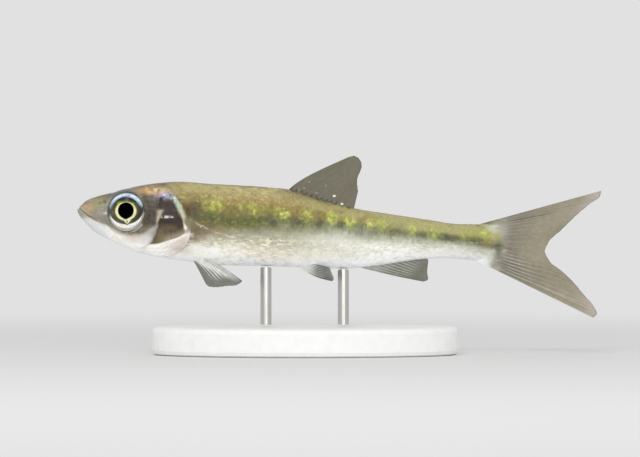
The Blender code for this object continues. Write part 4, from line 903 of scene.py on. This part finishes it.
def makeEye(side, name, node):
    # half an ellipsoid on rings round the line of sight, with a low step at the pupil and a closed back
    rows, columns = eye["rows"] - 1, eye["around"]
    r, turn = np.meshgrid(np.linspace(0, 1, eye["rows"])[1:], np.arange(columns) * 2 * math.pi / columns, indexing="ij")
    r = np.sin(r * math.pi / 2)
    across, up = r * eye["radii"][0] * np.cos(turn), r * eye["radii"][1] * np.sin(turn)
    out = np.hypot(across, up)
    dome = (eye["depth"] * np.sqrt(np.clip(1 - r**2, 0, 1)) - eye["pupilStep"] * bell(out - eye["pupil"], 0.07)
            + eye["bulge"] * bell(out, 0.9))
    # the front's tip and the closed back's middle come last
    across, up = np.r_[across.ravel(), 0, 0], np.r_[up.ravel(), 0, 0]
    c, s = math.cos(eye["turn"]), math.sin(eye["turn"])
    dome = np.r_[dome.ravel(), eye["depth"] + eye["bulge"], 0]
    x, y = eye["centre"][0] + across * c - dome * s, eye["inset"] + across * s + dome * c
    y[-1] = eye["inset"] - eye["backDeep"]
    faces = [gridFaces(rows, columns, wrap=True), fan(rows * columns, 0, columns),
             fan(rows * columns + 1, (rows - 1) * columns, columns, turned=True)]
    colour, inPupil = eyeMarkings(across, up)
    piece = addMesh(name, np.stack([x, side * y, eye["centre"][1] + up], -1),
                    sum((part[:, ::side].tolist() for part in faces), []), colour, {"pupil": inPupil})
    # cornea over a pigmented iris: a clear, very smooth coat keeps the highlight sharp
    material, tree, shader, place = newMaterial("wetEye")
    fibres = spread(tree, noise(tree, place, eye["fibres"], 2.0), 0.3, 0.7, 0.85, 1.15)
    setInputs(tree, shader, {
        "Base Color": blend(tree, 1.0, kept(tree, "markings", "Color"), fibres, "MULTIPLY"), "Roughness": 0.35,
        "IOR": 1.38, "Coat Weight": spread(tree, kept(tree, "pupil"), 0.0, 1.0, 0.25, 0.0), "Coat Roughness": 0.03,
        "Coat IOR": 1.38, "Specular IOR Level": 0.0})
    piece.data.materials.append(material)
    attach(piece, "root")
    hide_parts(node)


# what holds where a fin's own values leave it out
finUsual = {"bowPower": 1.0, "webDark": 0.0, "cover": (0.95, 0.98), "rootReach": 1.0, "rootHalf": 0.12, "rayHigh": 1.0,
            "raysFrom": (-1, 0), "outerShow": 0.0, "paleLeast": 0.7, "flecksAndGlints": []}
# root and edge lines in millimetres; a ray's number runs from 0 at the first point to 1 at the last
fins = {
    "dorsal": {"rays": 10, "root": [(30.0, 0, 7.15), (33.2, 0, 6.2), (36.5, 0, 5.1), (39.5, 0, 4.4)],
               "edge": [(38.9, 0, 12.35), (39.7, 0, 12.5), (40.45, 0, 12.0), (40.75, 0, 11.1), (40.5, 0, 10.2),
                        (40.15, 0, 9.4), (40.2, 0, 7.4)],
               "bow": 0.6, "bowPower": 0.6, "pale": (0.08, 0.08), "base": "#4a4538", "web": "#5f5943",
               "ray": "#857e66", "rayHigh": 0.25, "show": (0.35, 0.0), "showUntil": (0.3, 0.8), "rayWide": 0.15,
               "webDark": 0.05, "rootHalf": 0.2, "rootReach": 1.2, "cover": (0.96, 0.98), "stitches": 13,
               # the first two are painted highlights (glints), the rest pale flecks
               "flecksAndGlints": [(36.8, 6.75, 0.24, 0.13, 1.0), (37.9, 5.6, 0.24, 0.13, 1.0), (31.6, 7.6, 0.2, 0.06, 0.3),
                          (34.3, 7.2, 0.22, 0.07, 0.3), (35.6, 8.2, 0.07, 0.2, 0.25), (33.3, 8.8, 0.2, 0.07, 0.25),
                          (32.5, 7.9, 0.2, 0.06, 0.28)]},
    "anal": {"rays": 12, "root": [(39.3, 0, -3.2), (43, 0, -2.5), (46, 0, -2.1), (49.9, 0, -1.7)],
             "edge": [(49.6, 0, -5.55), (50.2, 0, -5.3), (50.15, 0, -4.2), (50.3, 0, -2.6)],
             "bow": 0.12, "pale": (0.45, 0.02), "base": "#aaaca6", "web": "#676759", "ray": "#bfc1bb",
             "raysFade": (0.85, 0.55, 0.12), "show": (0.75, 0.05), "showUntil": (0.5, 0.85), "rayWide": 0.17,
             "rootHalf": 0.15},
    "pectoral": {"rays": 10, "root": [(16.9, 0.9, -1.45), (16.55, 0.5, -2.3)],
                 "edge": [(23.1, 4.15, -5.2), (23.5, 4.2, -5.55), (23.1, 4.15, -5.85), (21.6, 3.9, -6.1),
                          (19.4, 3.3, -6.25), (18.9, 3.1, -6.15), (18.5, 2.9, -5.85)],
                 "bow": 0.3, "raysFade": (0.84, 0.48, 0.05), "pale": (1.06, -0.05), "paleLeast": 0.84,
                 "base": "#dcddd8", "web": "#6e6f67", "ray": "#dcdcd5", "show": (1.0, 0.0), "showUntil": (0.6, 0.88),
                 "rayWide": 0.24, "rootReach": 1.5},
    "pelvic": {"rays": 9, "root": [(30.8, 0.3, -2.7), (31.9, 0.45, -2.6)],
               "edge": [(36.5, 2.6, -5.45), (36.7, 2.55, -5.2), (36.45, 2.35, -4.4), (36.1, 2.1, -3.4)],
               "bow": 0.5, "pale": (0.55, 0.55), "base": "#e0e0db", "web": "#484b43", "ray": "#cdcfc9",
               "show": (0.9, 0.3), "showUntil": (0.45, 0.9), "rayWide": 0.22},
    "tailUpper": {"rays": 11, "angles": (90, -4), "bow": 0.0,
                  "edge": [(75.1, 0, 7.5), (75.0, 0, 6.9), (73.3, 0, 5.5), (71.4, 0, 3.85), (69.3, 0, 1.8),
                           (67.6, 0, 0.2), (66.95, 0, -1.2)]},
    "tailLower": {"rays": 10, "angles": (-4, -90), "bow": 0.0,
                  "edge": [(66.95, 0, -1.2), (67.8, 0, -2.75), (69.3, 0, -3.9), (70.9, 0, -5.4), (72.6, 0, -7.4),
                           (74.2, 0, -9.4), (74.5, 0, -10.2), (73.9, 0, -10.7)]},
    "tail": {"pale": (0.28, 0.28), "base": "#a3a092", "web": "#8a836c", "ray": "#cfc6bd", "show": (0.85, 0.0),
             "showUntil": (0.25, 0.7), "rayWide": 0.15, "outerShow": 0.5, "rootPale": "#c9c9c4", "webDark": 0.45,
             "rootHalf": 0.45, "rootReach": 4.5, "gap": (0.26, 0.016), "raysFade": (1.1, 1.35, 0.16),
             "raysFrom": (0.1, 0.3), "tip": "#b9afa6"},
}
finCut = {"perRay": 14, "rows": 56, "webHalf": 0.028, "rayHalf": 0.06, "notch": 0.05, "wave": 0.04,
          "splits": (0.24, 0.1),                                              # shares of the gap between two rays
          "stalkAhead": 0.6, "stalkRadius": 2.2, "stalkIn": 0.1}              # the tail fin's root, in the stalk


def finSheet(root, edge, bow, power, flip=False):
    # straight rays from root to edge, bowed towards the front by a half sine of a power, the first one most
    share = np.linspace(0, 1, finCut["rows"])
    reach = edge - root
    forwards = np.cross(reach, np.cross(reach, np.gradient(root, axis=0) + np.gradient(edge, axis=0)))
    forwards /= np.linalg.norm(forwards, axis=1)[:, None]
    ends = root[-1] - root[0] if flip else root[0] - root[-1]
    if np.dot(forwards[0], ends) < 0:
        forwards = -forwards
    fade = np.linspace(0, 1, len(root)) if flip else np.linspace(1, 0, len(root))
    bowed = (bow * fade[:, None] * np.sin(math.pi * share**power))[..., None]
    return root[:, None] * (1 - share)[:, None] + edge[:, None] * share[:, None] + forwards[:, None] * bowed


def rayHeight(a, share, rays, wide):
    # 1 on a ray, 0 on the web: bells at each ray's middle, which split in two past 0.45 of the length
    at = a * (rays - 1)
    phase = (at + 0.5) % 1 - 0.5
    apart = finCut["splits"][0] * smooth(0.45, 0.95, share) * (at > 0.5)
    apart2 = finCut["splits"][1] * smooth(0.72, 1.0, share) * (at > 1.5)
    wide = wide * (1 - 0.5 * smooth(0.3, 0.9, share))
    return np.max([bell(phase - first * apart - second * apart2, wide) for first in (-1, 1) for second in (-1, 1)],
                  axis=0)


def raySheet(sizes, side=1, flip=False):
    # places across the fin, its sheet and its ridges; the web's edge draws back between the rays' tips
    rays, mirror = sizes["rays"], np.array([1, side, 1])
    a = np.linspace(0, 1, (rays - 1) * finCut["perRay"] + 1)
    if "angles" in sizes:       # round the stalk's end
        angle = np.radians(sizes["angles"][0] + (sizes["angles"][1] - sizes["angles"][0]) * a)
        back, belly = section(body["stalkEnd"])[:2]
        high = (np.where(angle > 0, back, -belly) - finCut["stalkIn"]) * np.sin(angle)
        far = body["stalkEnd"] - finCut["stalkAhead"] + finCut["stalkRadius"] * np.cos(angle)
        root = np.stack([far, 0 * angle, high], -1)
    else:
        root = along(sizes["root"], a) * mirror
    edge = along(sizes["edge"], a) * mirror
    inwards = root - edge
    inwards /= np.linalg.norm(inwards, axis=1)[:, None]
    edge += inwards * (np.sin(a * (rays - 1) * math.pi) ** 2 * finCut["notch"])[:, None]
    fromFront = (1 - a if flip else a)[:, None]
    ridge = rayHeight(fromFront, np.linspace(0, 1, finCut["rows"])[None], rays, sizes["rayWide"])
    return a, finSheet(root, edge, sizes["bow"], sizes["bowPower"], flip), ridge


def turnedOut(points, faces):
    # flips every face when the first cell's normal looks at the sheet's other side
    first = faces[0]
    normal = np.cross(points[first[1]] - points[first[0]], points[first[2]] - points[first[0]])
    other = points[first[0] + len(points) // 2]
    return faces if np.dot(normal, points[first[0]] - other) > 0 else faces[:, ::-1]


def finColours(name, grid, a, ridge, share, strength, fromRoot, look):
    # web and rays, then the pale base, the tail's haze and tips, the dorsal fin's dark stitches, pale flecks and two
    # painted glints
    ones, at = np.ones_like(ridge), np.clip(a, 0, 1)[:, None] * np.ones_like(ridge)
    first, last = look["show"]
    show = (first + (last - first) * smooth(*look["showUntil"], share)) * ones
    outermost = smooth(0.6, 0.95, np.abs(a - 1))[:, None]
    show = ridge * strength * np.maximum(show, look["outerShow"] * outermost * smooth(1.0, 0.8, share))
    web = linear(look["web"]) * (1 - look["webDark"] * smooth(0.75, 0.15, share) * ones)[..., None]
    colour = mixed(web, linear(look["ray"]), show)
    if "gap" in look:
        colour = colour * (1 - 0.6 * bell(a - look["gap"][0], look["gap"][1])[:, None]
                           * smooth(0.75, 0.55, share))[..., None]
    reach = look["pale"][0] + (look["pale"][1] - look["pale"][0]) * at
    pale = smooth(reach + 0.1, reach - 0.25, share) * (look["paleLeast"] + 0.3 * ridge)
    colour = mixed(colour, linear(look["base"]), pale) * (0.88 + 0.24 * cloud(grid, 0.5, 4.4)[..., None])
    if name == "tailFin":
        haze = smooth(0.32, 0.05, share) * bell(a - 0.55, 0.3)[:, None] * 0.45
        colour = mixed(colour, linear(look["rootPale"]), haze)
        colour = colour * (1 - 0.3 * smooth(0.45, 0.1, share) * smooth(1.2, 1.6, a)[:, None])[..., None]
        tip = smooth(0.8, 1, share) * smooth(0.5, 0.95, np.abs(a - 1))[:, None] * 0.7
        colour = mixed(markings(grid), mixed(colour, linear(look["tip"]), tip), finShare(grid))
        spot = blob(grid[..., 0], grid[..., 2], *marks["stalkEndSpot"])
        return painted(colour, [("bandDark", spot * 0.6)])
    if "stitches" in look:
        stitch = (smooth(0.0, 0.5, np.sin(at * look["stitches"] * 2 * math.pi)) * smooth(1.3, 0.7, fromRoot)
                  * smooth(0.85, 0.7, at))
        colour = colour * (1 - 0.75 * stitch)[..., None]
    return painted(colour, [
        ("white", smooth(1.2, 0.6, np.hypot((grid[..., 0] - x) / wide, (grid[..., 2] - z) / high)) * strong)
        for x, z, wide, high, strong in look["flecksAndGlints"]])


def makeFin(name, a, grid, ridge, look, nodes):
    # both faces of the sheet, half a thickness to each side and more at the root, closed round the rim
    share = np.linspace(0, 1, grid.shape[1])[None]
    fromRoot = share * np.linalg.norm(grid[:, -1] - grid[:, 0], axis=1)[:, None]
    normal = np.cross(np.gradient(grid, axis=0), np.gradient(grid, axis=1))
    normal /= np.maximum(np.linalg.norm(normal, axis=2), 1e-9)[..., None]
    flesh = look["rootHalf"] * np.clip(1 - fromRoot / look["rootReach"], 0, 1) ** 1.5
    faint, full, least = look.get("raysFade", (0, 1, 1))
    strength = (look["rayHigh"] * (least + (1 - least) * smooth(faint, full, a)))[:, None]
    strength = strength * smooth(*look["raysFrom"], share)
    half = finCut["webHalf"] + finCut["rayHalf"] * ridge * strength * (1 - 0.6 * share) + flesh
    half = half * (1 - 0.6 * smooth(0.9, 1, share))
    wave = finCut["wave"] * np.sin(a[:, None] * 9 + share * 3) * share       # the web is never quite flat
    points = np.concatenate([(grid + normal * (wave + way * half)[..., None]).reshape(-1, 3) for way in (1, -1)])
    faces = turnedOut(points, sheetFaces(*ridge.shape))
    colour = finColours(name, grid, a, ridge, share, strength, fromRoot, look)
    low, high = look["cover"]
    numbers = {"cover": low + (high - low) * np.maximum(ridge, smooth(0.3, 0.0, share)),
               "rayShare": share * np.ones_like(ridge), "onRay": ridge}
    fin = addMesh(name, points, faces.tolist(), np.clip(np.concatenate([colour.reshape(-1, 3)] * 2), 0, 1),
                  {key: np.tile(values.ravel(), 2) for key, values in numbers.items()})
    fin.data.materials.append(finMaterial)
    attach(fin, "root")
    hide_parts(*nodes)
    print(name, len(faces) * 2, "triangles")


def finWebMaterial():
    # fin web: bony, jointed rays under a thin clear skin, a little see-through between them
    material, tree, shader, place = newMaterial("finWeb")
    grain = noise(tree, place, 0.3, 3.0)
    joint = sums(tree, "SINE", sums(tree, "MULTIPLY", kept(tree, "rayShare"), 260.0))      # a joint each 0.3 mm or so
    joined = blend(tree, kept(tree, "onRay"), kept(tree, "markings", "Color"), spread(tree, joint, 0.4, 1.0, 1.0, 0.92),
                   "MULTIPLY")
    tone = blend(tree, 1.0, joined, spread(tree, grain, 0.3, 0.7, 0.93, 1.07), "MULTIPLY")
    setInputs(tree, shader, {"Base Color": tone, "Roughness": 0.42, "IOR": 1.4, "Alpha": kept(tree, "cover"),
                             "Normal": bump(tree, grain, 0.3, 0.02), "Coat Weight": 0.25, "Coat Roughness": 0.2})
    return material


def makeFins():
    # each fin's own values over the usual ones; the paired fins are mirrored
    for key, name in (("dorsal", "dorsalFin"), ("anal", "analFin")):
        sizes = {**finUsual, **fins[key]}
        makeFin(name, *raySheet(sizes), sizes, [key + "_fin"])
    for key in ("pectoral", "pelvic"):
        sizes = {**finUsual, **fins[key]}
        for side, word in ((-1, "left"), (1, "right")):
            makeFin(key + word.capitalize() + "Fin", *raySheet(sizes, side), sizes, [key + "_fin_" + word])
    # the tail's lobes share one sheet: the lower one's places run on from 1 to 2, without its first column
    tail = {**finUsual, **fins["tail"]}
    upper = raySheet({**tail, **fins["tailUpper"]})
    places, grid, ridge = (part[1:] for part in raySheet({**tail, **fins["tailLower"]}, flip=True))
    whole = [np.concatenate(pair) for pair in zip(upper, (places + 1, grid, ridge))]
    makeFin("tailFin", *whole, tail, ["tail_fin_upper", "tail_fin_lower"])


def finishNode(name, material):
    # a kept node takes the material in place of its own
    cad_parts[name].data.materials.clear()
    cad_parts[name].data.materials.append(material)


def standFinishes():
    # base: cast acrylic, rubbed matt, so it shows only a broad soft gleam and faint rubbing marks
    material, tree, shader, place = newMaterial("mattAcrylic")
    rubbed = noise(tree, place, 1.2, 4.0)
    tone = blend(tree, 1.0, flat("#eeeeec"), spread(tree, rubbed, 0.0, 1.0, 0.94, 1.06), "MULTIPLY")
    setInputs(tree, shader, {"Base Color": tone, "Roughness": spread(tree, rubbed, 0.0, 1.0, 0.42, 0.6), "IOR": 1.49,
                             "Normal": bump(tree, noise(tree, place, 0.2, 2.0), 0.2, 0.01)})
    finishNode("stand_base", material)
    # rods: drawn stainless steel, with fine lines along the draw that spread the gleam sideways
    material, tree, shader, place = newMaterial("drawnSteel")
    lines = noise(tree, addNode(tree, "Mapping", {"Vector": place, "Scale": (1.0, 1.0, 0.04)}), 0.15, 3.0)
    setInputs(tree, shader, {"Base Color": flat("#c4c3bf"), "Metallic": 1.0,
                             "Roughness": spread(tree, lines, 0.0, 1.0, 0.2, 0.42),
                             "Normal": bump(tree, lines, 0.2, 0.01)})
    finishNode("stand_rod_front", material)
    finishNode("stand_rod_back", material)


# metres and watts; the picture's width and centre in fish millimetres
studio = {"ground": "#e1e1e1", "floor": "#e2e2e2", "floorRadius": 0.26, "floorRows": 23, "floorAround": 96,
          "fade": (0.22, 0.96), "distance": 0.45, "frameWidth": 91.8, "centre": (34.75, 2.08),
          "lightsAim": (0, 0, 0.018),
          "lights": {"keyLight": ((-0.1, -0.28, 0.24), 0.09, 0.2), "fillLight": ((0.03, -0.34, 0.04), 0.3, 0.55),
                     "topLight": ((0.0, 0.12, 0.36), 0.3, 0.03)}}


def makeStudio():
    # a disc of pale floor that fades into the same pale ground all round, soft lights, long lens from the side
    scene = bpy.context.scene
    ground = flat(studio["ground"])
    scene.world = bpy.data.worlds.new("paleGround")
    scene.world.use_nodes = True
    scene.world.node_tree.nodes["Background"].inputs["Color"].default_value = ground
    radius, rows, columns = studio["floorRadius"], studio["floorRows"], studio["floorAround"]
    reach, turn = np.meshgrid(np.linspace(0, radius, rows + 1)[1:], np.arange(columns) * 2 * math.pi / columns,
                              indexing="ij")
    points = np.stack([reach * np.cos(turn), reach * np.sin(turn), 0 * turn], -1).reshape(-1, 3)
    points = np.concatenate([points, [[0, 0, 0]]]) / millimetre - fishOrigin
    points[:, 2] -= 0.02
    floor = addMesh("floor", points, gridFaces(rows, columns, wrap=True)[:, ::-1].tolist()
                    + fan(rows * columns, 0, columns, turned=True).tolist())
    material, tree, shader, place = newMaterial("paleFloor")
    away = addNode(tree, "VectorMath", {0: place}, "Value", operation="LENGTH")
    fade = spread(tree, away, radius * studio["fade"][0], radius * studio["fade"][1], 0.0, 1.0,
                  interpolation_type="SMOOTHSTEP")
    glow = addNode(tree, "Emission", {"Color": ground, "Strength": 1.0})
    faded = addNode(tree, "MixShader", {0: fade, 1: shader.outputs["BSDF"], 2: glow})
    setInputs(tree, tree.nodes["Material Output"], {"Surface": faded})
    setInputs(tree, shader, {"Base Color": flat(studio["floor"]), "Roughness": 0.8, "Specular IOR Level": 0.1})
    floor.data.materials.append(material)
    for name, (at, size, power) in studio["lights"].items():
        light = bpy.data.lights.new(name, "AREA")
        light.shape, light.size, light.energy = "DISK", size, power
        lamp = bpy.data.objects.new(name, light)
        lamp.location = at
        lamp.rotation_euler = (Vector(studio["lightsAim"]) - Vector(at)).to_track_quat("-Z", "Y").to_euler()
        scene.collection.objects.link(lamp)
    lens = bpy.data.cameras.new("camera")
    lens.lens = lens.sensor_width * studio["distance"] / (studio["frameWidth"] * millimetre)
    camera = bpy.data.objects.new("camera", lens)
    spot = toFrame([studio["centre"][0], 0, studio["centre"][1]])
    camera.location = (spot[0], -studio["distance"], spot[2])
    camera.rotation_euler = (math.pi / 2, 0, 0)
    scene.collection.objects.link(camera)
    scene.camera = camera
    scene.view_settings.view_transform = "Standard"


makeStudio()
print("studio set")
skinLengths, skinU = makeSkin()
print("skin made")
makeScales(-1, "scalesLeft", skinLengths, skinU)
makeScales(1, "scalesRight", skinLengths, skinU)
makeEye(-1, "eyeLeft", "eye_left")
makeEye(1, "eyeRight", "eye_right")
print("eyes made")
finMaterial = finWebMaterial()
makeFins()
standFinishes()
print("fins and stand finished")
